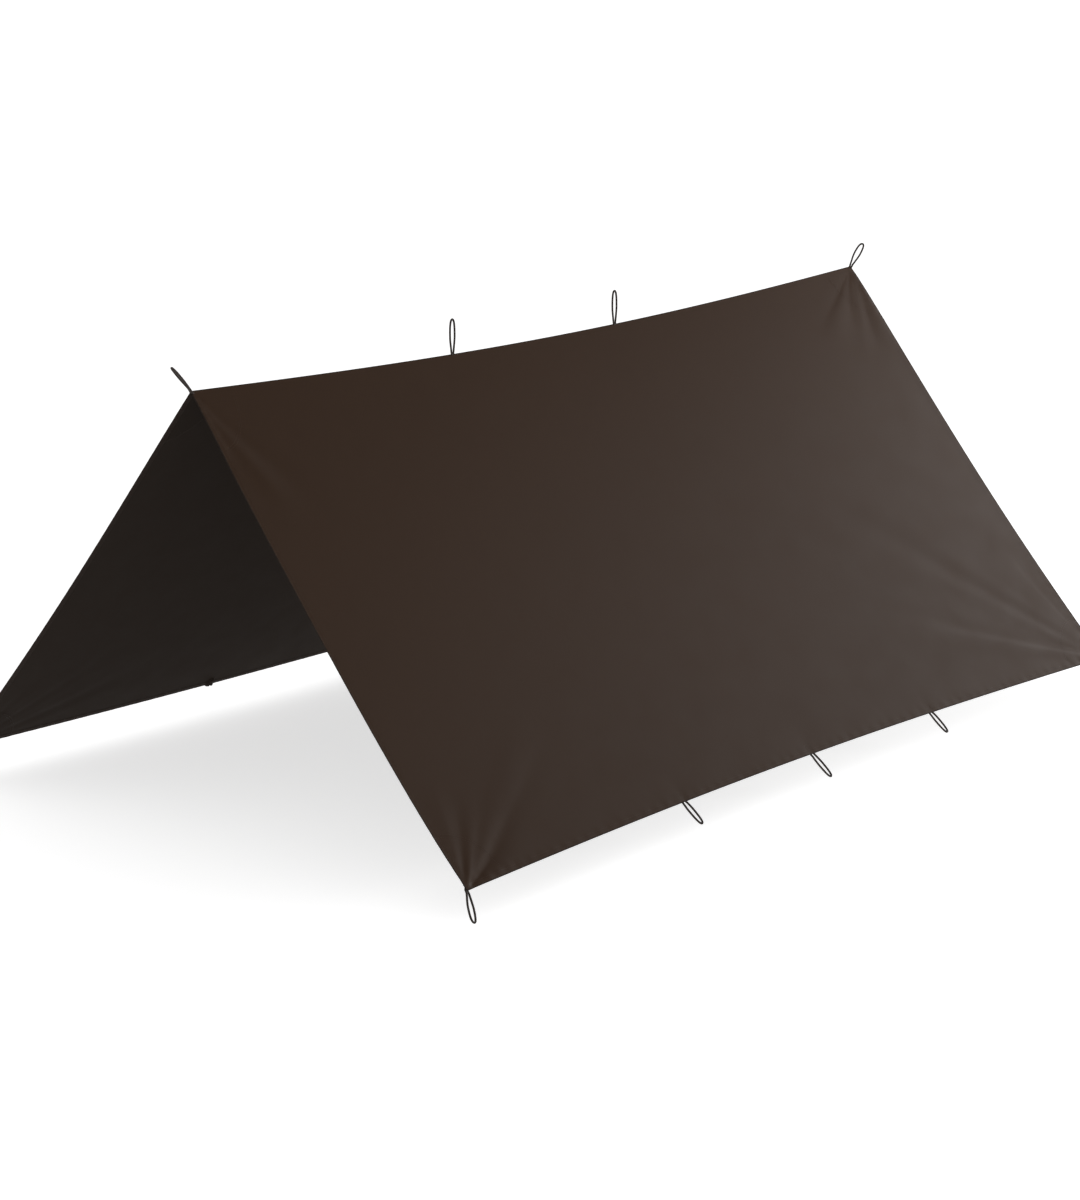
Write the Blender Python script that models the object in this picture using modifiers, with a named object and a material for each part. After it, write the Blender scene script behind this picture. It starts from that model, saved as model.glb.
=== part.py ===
"""Square camping tarp pitched as a ridge shelter.

Two cloth slopes meet in a sewn ridge seam. Every edge is hemmed, the corners
are patched, and fourteen loops of braided cord (four on the ridge, five on each
eave) are bar-tacked on as tie-out points.

Frame: metres, +Z up, +X along the ridge, front slope towards -Y. The origin is
the middle of the straight line between the two ridge corners.
"""

import math

import bmesh
import bpy
import numpy as np
from mathutils import Matrix, Vector

# ---------------------------------------------------------------- dimensions
RIDGE_LENGTH = 3.000          # ridge corner to ridge corner
SLOPE_LENGTH = 1.5467         # ridge to eave, along the cloth
EAVE_REACH = (0.0196, 0.0339) # eave corners beyond the ridge corners, near and far
PITCH = math.radians(49.66)   # slope below the horizontal
HALF_SPAN = SLOPE_LENGTH * math.cos(PITCH)
RISE = SLOPE_LENGTH * math.sin(PITCH)

RIDGE_SAG = 0.0415            # middle of the ridge below its ends
EAVE_CURVE = 0.0389           # eave cut back towards the ridge at its middle
EAVE_BELLY = 0.0388           # eave drawn inwards, square to the slope
GABLE_BELLY = ((0.0188, 0.0062), (0.0219, 0.0117))   # gable edges drawn inwards: bow, lower half
GABLE_BOW = (0.0060, 0.0033, 0.0095)     # gable edges outwards: bow, lower half, ends

CLOTH = 0.0010                # cloth as a solid
GAP = 0.0004                  # clearance between layers
HEM_WIDTH = 0.018
HEM_THICK = 0.0008
FOLD_WIDTH = 0.036            # cloth each side of the ridge line that bends
PATCH_RADIUS = 0.170
PATCH_THICK = 0.0008
FELL_WIDTH = 0.012            # felled seam allowance, on the rear slope
TAPE_WIDTH = 0.012            # seam tape each side of the ridge, inside
TAB_LENGTH = 0.033
TAB_WIDTH = 0.022
TAB_THICK = 0.0040
RIDGE_TAB_THICK = 0.0018
TACK = (0.014, 0.003, 0.0006)

CORD_RADIUS = 0.0030
LOOP_LENGTH = 0.110           # seam to tip of a flattened loop
LOOP_HALF_WIDTH = 0.010       # cord centre to loop centre line at the widest
LOOP_NECK = 0.0033            # the same where the two ends lie side by side
LOOP_TIP = 0.0072             # how blunt the tip is
LOOP_CLEAR = 0.0040           # from the cloth to the point where a loop turns
RIDGE_TUCK = 0.0115           # length of a ridge loop up to that point, seam and all
EAVE_TUCK = 0.033             # length of an eave loop that is sewn under the hem
REAR_LIE = math.radians(68)   # rear eave loops, turned up out of the plane of the slope

RIDGE_LOOPS = (0.346, 0.591)            # along the ridge, 0 near end to 1 far end
EAVE_LOOPS = (0.313, 0.512, 0.706)      # along each eave
FRONT_SLACK = (0.0, 0.007, -0.002)      # how much further each front eave loop comes out
AXIS_DROP = 0.0415                      # slope hinge line below the ridge corners

ALONG = 26                    # cells along the ridge and eaves
DOWN = 12                     # cells down a slope
LOOP_STEPS = 9                # cord points on each half of a leg's curve


# ------------------------------------------------------------- tarp surface
def bow(t):
    return 1.0 - (2.0 * t - 1.0) ** 2


def lean(t):
    return 4.0 * t * (1.0 - t) * (2.0 * t - 1.0)


def ends(t):
    return (1.0 - (2.0 * t - 1.0) ** 4) - bow(t)


def ridge_line(t):
    x = RIDGE_LENGTH * (t - 0.5)
    return np.array([x, 0.0, -(RIDGE_SAG * bow(t) - 0.0065 * ends(t) + 0.0006 * lean(t))])


def eave_line(side, t):
    up_slope = np.array([0.0, -side * math.cos(PITCH), math.sin(PITCH)])
    inwards = np.array([0.0, -side * math.sin(PITCH), -math.cos(PITCH)])
    near, far = EAVE_REACH
    x = -RIDGE_LENGTH / 2 - near + (RIDGE_LENGTH + near + far) * t
    base = np.array([x, side * HALF_SPAN, -RISE])
    cut = EAVE_CURVE * bow(t) - 0.0044 * ends(t)
    return base + cut * up_slope + EAVE_BELLY * bow(t) * inwards


def gable_line(side, end, v):
    inwards = np.array([0.0, -side * math.sin(PITCH), -math.cos(PITCH)])
    out = EAVE_REACH[end > 0] * v
    out += GABLE_BOW[0] * bow(v) + GABLE_BOW[1] * lean(v) + GABLE_BOW[2] * ends(v)
    base = np.array([end * (RIDGE_LENGTH / 2 + out), side * HALF_SPAN * v, -RISE * v])
    belly = GABLE_BELLY[end > 0]
    return base + (belly[0] * bow(v) + belly[1] * lean(v)) * inwards


def cloth(side, t, v):
    """Point of a slope: t along the ridge, v from the ridge down to the eave."""
    edges = (1 - v) * ridge_line(t) + v * eave_line(side, t)
    edges = edges + (1 - t) * gable_line(side, -1, v) + t * gable_line(side, 1, v)
    corners = (1 - t) * (1 - v) * ridge_line(0.0) + t * (1 - v) * ridge_line(1.0)
    corners = corners + (1 - t) * v * eave_line(side, 0.0) + t * v * eave_line(side, 1.0)
    return edges - corners


def outwards(side, t, v):
    """Unit normal of a slope, away from the sheltered side."""
    e = 1e-4
    a, b = min(max(t, e), 1 - e), min(max(v, e), 1 - e)
    dt = cloth(side, a + e, b) - cloth(side, a - e, b)
    dv = cloth(side, a, b + e) - cloth(side, a, b - e)
    n = np.cross(dt, dv)
    n = n / np.linalg.norm(n)
    return n if n[2] > 0 else -n


def layer(side, t, v, depth):
    return cloth(side, t, v) - depth * outwards(side, t, v)


# --------------------------------------------------------------- scene tools
for old in list(bpy.data.objects):
    bpy.data.objects.remove(old, do_unlink=True)

PARTS = bpy.data.collections.new("camping_tarp")
bpy.context.scene.collection.children.link(PARTS)


def finish(name, colour, roughness):
    made = bpy.data.materials.new(name + "_finish")
    made.use_nodes = True
    shader = made.node_tree.nodes["Principled BSDF"]
    shader.inputs["Base Color"].default_value = (*colour, 1.0)
    shader.inputs["Roughness"].default_value = roughness
    shader.inputs["Metallic"].default_value = 0.0
    return made


BROWN = (0.052, 0.033, 0.024)
TAPE = (0.030, 0.024, 0.021)
CORD = (0.036, 0.026, 0.022)
THREAD = (0.022, 0.016, 0.013)


def pivot(name, where):
    empty = bpy.data.objects.new(name, None)
    empty.empty_display_size = 0.1
    empty.location = where
    PARTS.objects.link(empty)
    return empty


FRONT = pivot("front_slope_pivot", (0.0, 0.0, -AXIS_DROP))
REAR = pivot("rear_slope_pivot", (0.0, 0.0, -AXIS_DROP))
bpy.context.view_layer.update()


def adopt(obj, parent):
    if parent is not None:
        obj.parent = parent
        obj.matrix_parent_inverse = parent.matrix_world.inverted()


def shell(name, rows, cols, place, thick, colour, roughness, parent=None):
    """An open grid laid on the cloth by place(row, col), thickened inwards."""
    grid = bmesh.new()
    bmesh.ops.create_grid(grid, x_segments=len(rows) - 1, y_segments=len(cols) - 1, size=0.5)
    xs = sorted({round(p.co.x, 5) for p in grid.verts})
    ys = sorted({round(p.co.y, 5) for p in grid.verts})
    for p in grid.verts:
        i, j = xs.index(round(p.co.x, 5)), ys.index(round(p.co.y, 5))
        p.co = Vector(place(rows[i], cols[j]))
    grid.normal_update()
    if sum(f.normal.z for f in grid.faces) < 0:
        bmesh.ops.reverse_faces(grid, faces=grid.faces)
    mesh = bpy.data.meshes.new(name)
    grid.to_mesh(mesh)
    grid.free()
    obj = bpy.data.objects.new(name, mesh)
    PARTS.objects.link(obj)
    obj.data.materials.append(finish(name, colour, roughness))
    solid = obj.modifiers.new("thickness", "SOLIDIFY")
    solid.thickness = thick
    solid.offset = -1.0
    solid.use_even_offset = True
    solid.use_quality_normals = True
    adopt(obj, parent)
    return obj


def block(name, size, centre, along, across, colour, parent=None):
    """A bar tack: a bar of dense stitches, size long, wide and thick."""
    mesh = bpy.data.meshes.new(name)
    box = bmesh.new()
    bmesh.ops.create_cube(box, size=1.0, matrix=Matrix.Diagonal((*size, 1.0)))
    box.to_mesh(mesh)
    box.free()
    obj = bpy.data.objects.new(name, mesh)
    PARTS.objects.link(obj)
    x = Vector(along).normalized()
    z = x.cross(Vector(across)).normalized()
    y = z.cross(x)
    turn = Matrix((x, y, z)).transposed().to_4x4()
    obj.matrix_world = Matrix.Translation(Vector(centre)) @ turn
    obj.data.materials.append(finish(name, colour, 0.8))
    bpy.context.view_layer.update()
    adopt(obj, parent)
    return obj


# ----------------------------------------------------------------- cord loop
def bezier(a, b, c, d, u):
    return (1 - u) ** 3 * a + 3 * (1 - u) ** 2 * u * b + 3 * (1 - u) * u * u * c + u**3 * d


def leg(u):
    """Half of a loop, from the seam at u = 0 to its tip at u = 1: (reach, half width)."""
    length, wide = LOOP_LENGTH, LOOP_HALF_WIDTH
    if u < 0.5:
        k = 2 * u
        return (
            bezier(0.0, 0.20 * length, 0.38 * length, 0.58 * length, k),
            bezier(LOOP_NECK, 0.0045, wide, wide, k),
        )
    k = 2 * u - 1
    return (
        bezier(0.58 * length, 0.86 * length, length, length, k),
        bezier(wide, wide, LOOP_TIP, 0.0, k),
    )


def leg_start(reach):
    low, high = 0.0, 1.0
    for _ in range(50):
        mid = (low + high) / 2
        low, high = (mid, high) if leg(mid)[0] < reach else (low, mid)
    return low


def cord_loop(name, turn_at, reach, towards, spread, parent=None):
    """A loop whose cord leaves its turning point turn_at with the first reach of it sewn in."""
    first = leg_start(reach)
    steps = 2 * LOOP_STEPS
    us = [first + (1.0 - first) * (1 - (1 - k / steps) ** 1.35) for k in range(steps)]
    us[-1] = 1.0 - 0.45 * (1.0 - us[-2])
    half = [leg(u) for u in us]
    flat = [(-w, s) for s, w in half] + [(w, s) for s, w in reversed(half)]
    # the two points nearest the tip stand level, so that the bend has a flat bearing face
    curve = bpy.data.curves.new(name, "CURVE")
    curve.dimensions = "3D"
    curve.bevel_depth = CORD_RADIUS
    curve.bevel_resolution = 2
    curve.use_fill_caps = True
    line = curve.splines.new("POLY")
    line.points.add(len(flat) - 1)
    for point, (x, y) in zip(line.points, flat):
        point.co = (x, y - reach, 0.0, 1.0)
        point.tilt = math.pi / 8
    obj = bpy.data.objects.new(name, curve)
    PARTS.objects.link(obj)
    y = Vector(towards).normalized()
    x = Vector(spread)
    x = (x - x.dot(y) * y).normalized()
    turn = Matrix((x, y, x.cross(y))).transposed().to_4x4()
    obj.matrix_world = Matrix.Translation(Vector(turn_at)) @ turn
    obj.data.materials.append(finish(name, CORD, 0.75))
    bpy.context.view_layer.update()
    adopt(obj, parent)
    return obj


# --------------------------------------------------------------- ridge pieces
hem_t = HEM_WIDTH / RIDGE_LENGTH
hem_v = HEM_WIDTH / SLOPE_LENGTH
fold_v = FOLD_WIDTH / SLOPE_LENGTH
TS = [0.0, hem_t] + [hem_t + (1 - 2 * hem_t) * k / (ALONG - 2) for k in range(1, ALONG - 2)] + [1 - hem_t, 1.0]


def over_ridge(depth):
    """Placer for a strip that straddles the ridge: metres down the front (-) or rear (+)."""

    def place(t, down):
        if abs(down) < 1e-9:
            both = outwards(-1, t, 0.0) + outwards(1, t, 0.0)
            both = both / np.linalg.norm(both)
            return ridge_line(t) - depth * both / float(both @ outwards(1, t, 0.0))
        side = -1 if down < 0 else 1
        return layer(side, t, abs(down) / SLOPE_LENGTH, depth)

    return place


shell("ridge_fold", TS, [-FOLD_WIDTH, -FOLD_WIDTH / 2, 0.0, FOLD_WIDTH / 2, FOLD_WIDTH],
      over_ridge(0.0), CLOTH, BROWN, 0.62)
shell("ridge_fell", TS, [0.002, 0.002 + FELL_WIDTH],
      over_ridge(-(GAP + HEM_THICK)), HEM_THICK, BROWN, 0.62)
shell("ridge_tape", TS, [-TAPE_WIDTH, 0.0, TAPE_WIDTH],
      over_ridge(CLOTH + GAP), 0.0005, TAPE, 0.45)

tab_depth = CLOTH + GAP + 0.0005 + GAP
RIDGE_TABS = {
    "near": (0.0010, 0.0150),
    "1": (RIDGE_LOOPS[0] - 0.0065, RIDGE_LOOPS[0] + 0.0065),
    "2": (RIDGE_LOOPS[1] - 0.0065, RIDGE_LOOPS[1] + 0.0065),
    "far": (0.9850, 0.9990),
}
for label, (t0, t1) in RIDGE_TABS.items():
    shell("ridge_tab_" + label, [t0, (t0 + t1) / 2, t1], [-0.013, 0.0, 0.013],
          over_ridge(tab_depth), RIDGE_TAB_THICK, BROWN, 0.65)
    t = (t0 + t1) / 2
    depth = tab_depth + RIDGE_TAB_THICK + GAP + TACK[2] / 2
    v = 0.008 / SLOPE_LENGTH
    block("ridge_tack_" + label, TACK, layer(1, t, v, depth),
          cloth(1, t + 0.002, v) - cloth(1, t - 0.002, v),
          cloth(1, t, v + 0.002) - cloth(1, t, v), THREAD)

top = Vector((0.0, 0.0, 1.0))
for label, t in zip(("1", "2"), RIDGE_LOOPS):
    base = Vector(ridge_line(t))
    cord_loop("ridge_loop_" + label, base + LOOP_CLEAR * top, RIDGE_TUCK, top, (1.0, 0.0, 0.0))
near_towards = Vector((-0.723, -0.131, 0.678)).normalized()
far_towards = Vector((0.799, 0.148, 0.583)).normalized()
cord_loop("ridge_loop_near", Vector(ridge_line(0.0)) + LOOP_CLEAR * near_towards,
          LOOP_CLEAR, near_towards, (0.04, 0.972, 0.232))
cord_loop("ridge_loop_far", Vector(ridge_line(1.0)) + LOOP_CLEAR * far_towards,
          LOOP_CLEAR, far_towards, (-0.30, 0.93, 0.20))


# --------------------------------------------------------------- slope pieces
def slope(prefix, side, parent):
    first = fold_v + GAP / SLOPE_LENGTH
    vs = [first] + [first + (1 - hem_v - first) * k / (DOWN - 1) for k in range(1, DOWN)] + [1.0]
    shell(prefix + "_panel", TS, vs, lambda t, v: layer(side, t, v, 0.0), CLOTH, BROWN, 0.62, parent)

    depth = CLOTH + GAP
    stop = 1 - hem_v - GAP / SLOPE_LENGTH
    shell(prefix + "_eave_hem", TS, [1 - hem_v, 1.0],
          lambda t, v: layer(side, t, v, depth), HEM_THICK, BROWN, 0.62, parent)
    for label, (t0, t1) in {"near": (0.0, hem_t), "far": (1 - hem_t, 1.0)}.items():
        shell(prefix + "_gable_hem_" + label, vs[:-2] + [stop], [t0, t1],
              lambda v, t: layer(side, t, v, depth), HEM_THICK, BROWN, 0.62, parent)

    under = depth + HEM_THICK + GAP
    for label, corner in {"near": 0.0, "far": 1.0}.items():
        away = 1.0 if corner == 0.0 else -1.0

        def corner_patch(r, angle):
            t = corner + away * r * math.cos(angle) / RIDGE_LENGTH
            return layer(side, t, 1 - r * math.sin(angle) / SLOPE_LENGTH, under)

        shell(prefix + "_corner_patch_" + label,
              [0.012 + (PATCH_RADIUS - 0.012) * k / 5 for k in range(6)],
              [math.radians(3 + 84 * k / 6) for k in range(7)],
              corner_patch, PATCH_THICK, BROWN, 0.65, parent)

        def peak_patch(down, share):
            wide = 0.150 * math.sqrt(max(0.0, 1 - (down / 0.200) ** 2))
            x = 0.003 + share * wide
            return layer(side, corner + away * x / RIDGE_LENGTH, down / SLOPE_LENGTH, under)

        start = FOLD_WIDTH + GAP + 0.001
        shell(prefix + "_peak_patch_" + label,
              [start + (0.185 - start) * k / 5 for k in range(6)],
              [k / 5 for k in range(6)],
              peak_patch, PATCH_THICK, BROWN, 0.65, parent)

        # bar tack across the corner, over the sewn-in ends of its loop
        at = (corner + away * 0.0155 / RIDGE_LENGTH, 1 - 0.0155 / SLOPE_LENGTH)
        run = cloth(side, at[0] + 0.001 * away, at[1]) - cloth(side, *at)
        drop = cloth(side, at[0], at[1] + 0.001) - cloth(side, *at)
        run, drop = run / np.linalg.norm(run), drop / np.linalg.norm(drop)
        block(prefix + "_tack_" + label, TACK,
              layer(side, *at, under + PATCH_THICK + GAP + TACK[2] / 2),
              run + drop, run - drop, THREAD, parent)

        corner_at = Vector(layer(side, corner, 1.0, 0.0012))
        towards = Vector((-0.536 * away, 0.687 * side, -0.491)).normalized()
        flat = Vector((0.82 * away, 0.28 * side, -0.48))
        cord_loop(prefix + "_loop_" + label, corner_at + LOOP_CLEAR * towards,
                  LOOP_CLEAR, towards, flat, parent)

    for number, t in enumerate(EAVE_LOOPS, 1):
        half = TAB_WIDTH / 2 / RIDGE_LENGTH
        v0, v1 = 1 - (TAB_LENGTH + 0.002) / SLOPE_LENGTH, 1 - 0.002 / SLOPE_LENGTH
        shell(prefix + f"_tab_{number}", [t - half, t, t + half], [v0, (v0 + v1) / 2, v1],
              lambda a, b: layer(side, a, b, under), TAB_THICK, BROWN, 0.65, parent)
        v = 1 - 0.024 / SLOPE_LENGTH
        block(prefix + f"_tack_{number}", TACK,
              layer(side, t, v, under + TAB_THICK + GAP + TACK[2] / 2),
              cloth(side, t + 0.001, v) - cloth(side, t, v),
              cloth(side, t, v + 0.001) - cloth(side, t, v), THREAD, parent)
        # a front loop hangs on in the plane of the slope, a little towards the far end;
        # a rear one stands out from the eave
        edge = Vector(layer(side, t, 1.0, under + TAB_THICK / 2))
        down = Vector(cloth(side, t, 1.0) - cloth(side, t, 0.98)).normalized()
        hang = (down + Vector((0.17, 0.0, 0.0))).normalized()
        towards = Matrix.Rotation(REAR_LIE, 3, "X") @ hang if side > 0 else hang
        slack = FRONT_SLACK[number - 1] if side < 0 else 0.0
        cord_loop(prefix + f"_loop_{number}", edge + LOOP_CLEAR * hang,
                  EAVE_TUCK + LOOP_CLEAR - slack, towards, (1.0, 0.0, 0.0), parent)


slope("front", -1, FRONT)
slope("rear", 1, REAR)

for obj in PARTS.objects:
    if obj.type == "MESH":
        obj.data.shade_smooth()
        obj.data.set_sharp_from_angle(angle=math.radians(35))
bpy.context.view_layer.update()
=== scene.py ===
"""Looks of the camping tarp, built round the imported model."""

import math

import bmesh
import bpy
import numpy as np
from mathutils import Matrix, Vector


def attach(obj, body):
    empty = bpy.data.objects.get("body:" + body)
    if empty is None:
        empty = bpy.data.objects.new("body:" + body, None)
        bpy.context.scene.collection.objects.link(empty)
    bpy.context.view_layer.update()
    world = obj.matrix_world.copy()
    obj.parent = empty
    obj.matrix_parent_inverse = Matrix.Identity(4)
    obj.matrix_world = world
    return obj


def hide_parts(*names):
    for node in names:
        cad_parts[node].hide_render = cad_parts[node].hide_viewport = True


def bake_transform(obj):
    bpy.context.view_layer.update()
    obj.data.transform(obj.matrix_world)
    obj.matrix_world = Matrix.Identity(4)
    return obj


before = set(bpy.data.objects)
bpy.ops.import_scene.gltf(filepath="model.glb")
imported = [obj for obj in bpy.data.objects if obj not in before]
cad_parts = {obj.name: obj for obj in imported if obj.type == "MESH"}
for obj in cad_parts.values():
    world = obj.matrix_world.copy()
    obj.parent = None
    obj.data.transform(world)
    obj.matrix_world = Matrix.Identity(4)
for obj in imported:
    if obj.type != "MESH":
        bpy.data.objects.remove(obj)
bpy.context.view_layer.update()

# ------------------------------------------------------------------ dimensions
RIDGE_LENGTH = 3.000
SLOPE_LENGTH = 1.5467
EAVE_REACH = (0.0196, 0.0339)
PITCH = math.radians(49.66)
HALF_SPAN = SLOPE_LENGTH * math.cos(PITCH)
RISE = SLOPE_LENGTH * math.sin(PITCH)
RIDGE_SAG = 0.0415
EAVE_CURVE = 0.0389
EAVE_BELLY = 0.0388
GABLE_BELLY = ((0.0188, 0.0062), (0.0219, 0.0117))
GABLE_BOW = (0.0060, 0.0033, 0.0095)

CLOTH = 0.0005
HEM_WIDTH = 0.018
PATCH_RADIUS = 0.170
CORD_RADIUS = 0.0030
LOOP_LENGTH = 0.110
LOOP_HALF_WIDTH = 0.010
LOOP_NECK = 0.0033
LOOP_TIP = 0.0072
LOOP_CLEAR = 0.0040
RIDGE_TUCK = 0.0115
EAVE_TUCK = 0.033
FRONT_SLACK = (0.0, 0.007, -0.002)   # how much further each front eave loop comes out
REAR_LIE = math.radians(68)
RIDGE_LOOPS = (0.346, 0.591)
EAVE_LOOPS = (0.313, 0.512, 0.706)
BEND = 0.045                  # pieces reaching closer than this to the ridge plane stay unattached to either slope


# ---------------------------------------------------------------- tarp surface
def stack(*parts):
    return np.stack(np.broadcast_arrays(*[np.asarray(p, float) for p in parts]), -1)


def bow(t):
    return 1.0 - (2.0 * t - 1.0) ** 2


def lean(t):
    return 4.0 * t * (1.0 - t) * (2.0 * t - 1.0)


def ends(t):
    return (1.0 - (2.0 * t - 1.0) ** 4) - bow(t)


def ridge_line(t):
    t = np.asarray(t, float)
    return stack(RIDGE_LENGTH * (t - 0.5), 0.0,
                 -(RIDGE_SAG * bow(t) - 0.0065 * ends(t) + 0.0006 * lean(t)))


def inwards_of(side):
    return np.array([0.0, -side * math.sin(PITCH), -math.cos(PITCH)])


def eave_line(side, t):
    t = np.asarray(t, float)
    up_slope = np.array([0.0, -side * math.cos(PITCH), math.sin(PITCH)])
    near, far = EAVE_REACH
    x = -RIDGE_LENGTH / 2 - near + (RIDGE_LENGTH + near + far) * t
    cut = EAVE_CURVE * bow(t) - 0.0044 * ends(t)
    return (stack(x, side * HALF_SPAN, -RISE) + cut[..., None] * up_slope
            + (EAVE_BELLY * bow(t))[..., None] * inwards_of(side))


def gable_line(side, end, v):
    v = np.asarray(v, float)
    out = EAVE_REACH[end > 0] * v
    out = out + GABLE_BOW[0] * bow(v) + GABLE_BOW[1] * lean(v) + GABLE_BOW[2] * ends(v)
    belly = GABLE_BELLY[end > 0]
    return (stack(end * (RIDGE_LENGTH / 2 + out), side * HALF_SPAN * v, -RISE * v)
            + (belly[0] * bow(v) + belly[1] * lean(v))[..., None] * inwards_of(side))


def smooth_cloth(side, t, v):
    """Point of a slope without its creases: t along the ridge, v down to the eave."""
    t, v = np.broadcast_arrays(np.asarray(t, float), np.asarray(v, float))
    tt, vv = t[..., None], v[..., None]
    edges = (1 - vv) * ridge_line(t) + vv * eave_line(side, t)
    edges = edges + (1 - tt) * gable_line(side, -1, v) + tt * gable_line(side, 1, v)
    corners = (1 - tt) * (1 - vv) * ridge_line(0.0) + tt * (1 - vv) * ridge_line(1.0)
    corners = corners + (1 - tt) * vv * eave_line(side, 0.0) + tt * vv * eave_line(side, 1.0)
    return edges - corners


def smooth_normal(side, t, v):
    e = 1e-4
    a, b = np.clip(t, e, 1 - e), np.clip(v, e, 1 - e)
    dt = smooth_cloth(side, a + e, b) - smooth_cloth(side, a - e, b)
    dv = smooth_cloth(side, a, b + e) - smooth_cloth(side, a, b - e)
    n = np.cross(dt, dv)
    n = n / np.linalg.norm(n, axis=-1, keepdims=True)
    return n * np.sign(n[..., 2:3])


# ------------------------------------------------------------------- creases
# A crease is a long soft fold: it starts at (x0, y0) and ends at (x1, y1), in
# metres along the ridge and down the slope; its width grows and its height
# fades along it, and bend moves its middle sideways. It is a rounded fold, which
# lies in where its height is negative, with a step that climbs slowly and drops
# on one side.
# (x0, y0, x1, y1, bend, width at start, width at end, fold height, step height,
# where they peak)
FRONT_CREASES = [
    # near eave corner, a narrow fan
    (0.000, 1.547, 0.111, 1.205, -0.0007, 0.0040, 0.0345, 0.00060, -0.00040, 0.65),
    (0.000, 1.547, 0.243, 1.271, 0.0041, 0.0040, 0.0239, 0.00145, -0.00049, 0.21),
    (0.000, 1.547, 0.657, 1.163, 0.0109, 0.0040, 0.0390, -0.00065, 0.00153, 0.55),
    (0.000, 1.547, 0.371, 1.366, 0.0197, 0.0040, 0.0336, -0.00240, -0.00155, 0.18),
    # near ridge corner
    (0.000, 0.000, 0.012, 0.277, 0.0068, 0.0028, 0.0205, 0.00214, -0.00101, 0.56),
    (0.000, 0.000, 0.160, 0.410, 0.0071, 0.0028, 0.0361, 0.00235, -0.00015, 0.65),
    (0.000, 0.000, 0.093, 0.440, 0.0154, 0.0028, 0.0474, 0.00242, 0.00016, 0.24),
    # far ridge corner
    (3.000, 0.000, 2.939, 0.436, -0.0007, 0.0080, 0.0480, 0.00165, 0.00026, 0.23),
    (3.000, 0.000, 2.837, 0.212, 0.0068, 0.0077, 0.0480, -0.00011, 0.00156, 0.43),
    (3.000, 0.000, 2.603, 0.239, -0.0051, 0.0080, 0.0281, -0.00043, 0.00148, 0.48),
    (3.000, 0.000, 2.770, 0.378, -0.0034, 0.0080, 0.0258, 0.00053, 0.00025, 0.30),
    # far eave corner, long straining folds
    (3.000, 1.547, 2.054, 1.112, -0.0126, 0.0020, 0.0480, -0.00034, 0.00137, 0.55),
    (3.000, 1.547, 2.113, 0.619, 0.0139, 0.0080, 0.0428, -0.00051, -0.00012, 0.36),
    (3.000, 1.547, 2.880, 1.032, -0.0100, 0.0066, 0.0480, -0.00009, 0.00048, 0.65),
    (3.000, 1.547, 2.601, 1.361, 0.0211, 0.0040, 0.0292, -0.00035, -0.00022, 0.51),
]
REAR_CREASES = [
    (0.000, 1.547, 0.640, 1.280, 0.012, 0.0040, 0.0320, 0.00105, 0.00000, 0.42),
    (0.000, 1.547, 0.420, 1.130, 0.006, 0.0040, 0.0240, 0.00070, 0.00000, 0.40),
    (0.000, 1.547, 0.150, 1.180, 0.000, 0.0030, 0.0200, 0.00070, 0.00000, 0.35),
    (0.000, 0.000, 0.140, 0.300, 0.006, 0.0030, 0.0200, 0.00084, 0.00000, 0.40),
    (0.000, 0.000, 0.260, 0.220, 0.004, 0.0030, 0.0220, 0.00056, 0.00000, 0.40),
    (3.000, 0.000, 2.740, 0.200, 0.004, 0.0030, 0.0140, -0.00063, 0.00000, 0.42),
    (3.000, 0.000, 2.860, 0.300, 0.004, 0.0030, 0.0140, 0.00070, 0.00000, 0.42),
    (3.000, 1.547, 2.300, 1.120, -0.014, 0.0060, 0.0380, 0.00000, 0.00035, 0.48),
    (3.000, 1.547, 2.560, 1.000, 0.008, 0.0060, 0.0300, 0.00000, 0.00028, 0.45),
    (3.000, 1.547, 2.860, 1.120, 0.004, 0.0050, 0.0220, 0.00063, 0.00000, 0.38),
]


def fold_height(x, y, crease):
    x0, y0, x1, y1, bend, w0, w1, fold, step, peak = crease
    dx, dy = x1 - x0, y1 - y0
    length = math.hypot(dx, dy)
    ux, uy = dx / length, dy / length
    s = ((x - x0) * ux + (y - y0) * uy) / length
    across = -(x - x0) * uy + (y - y0) * ux
    s01 = np.clip(s, 0.0, 1.0)
    across = across - bend * 4 * s01 * (1 - s01)
    width = w0 + (w1 - w0) * s01
    rise = np.clip(s01 / peak, 0, 1)
    fall = np.clip((1 - s01) / (1 - peak), 0, 1)
    along = np.sin(rise * math.pi / 2) ** 1.2 * (0.5 - 0.5 * np.cos(fall * math.pi))
    k = across / width
    ridge = np.exp(-0.5 * k * k) * (1 - 0.28 * k) - 0.42 * np.exp(-0.5 * (np.abs(k) - 2.3) ** 2 / 0.9)
    terrace = (0.5 + 0.5 * np.tanh((k + 2.2) / 1.3)) * (0.5 - 0.5 * np.tanh(k / 0.32))
    return np.where((s > -0.02) & (s < 1.0), along * (fold * ridge + step * terrace), 0.0)


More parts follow.
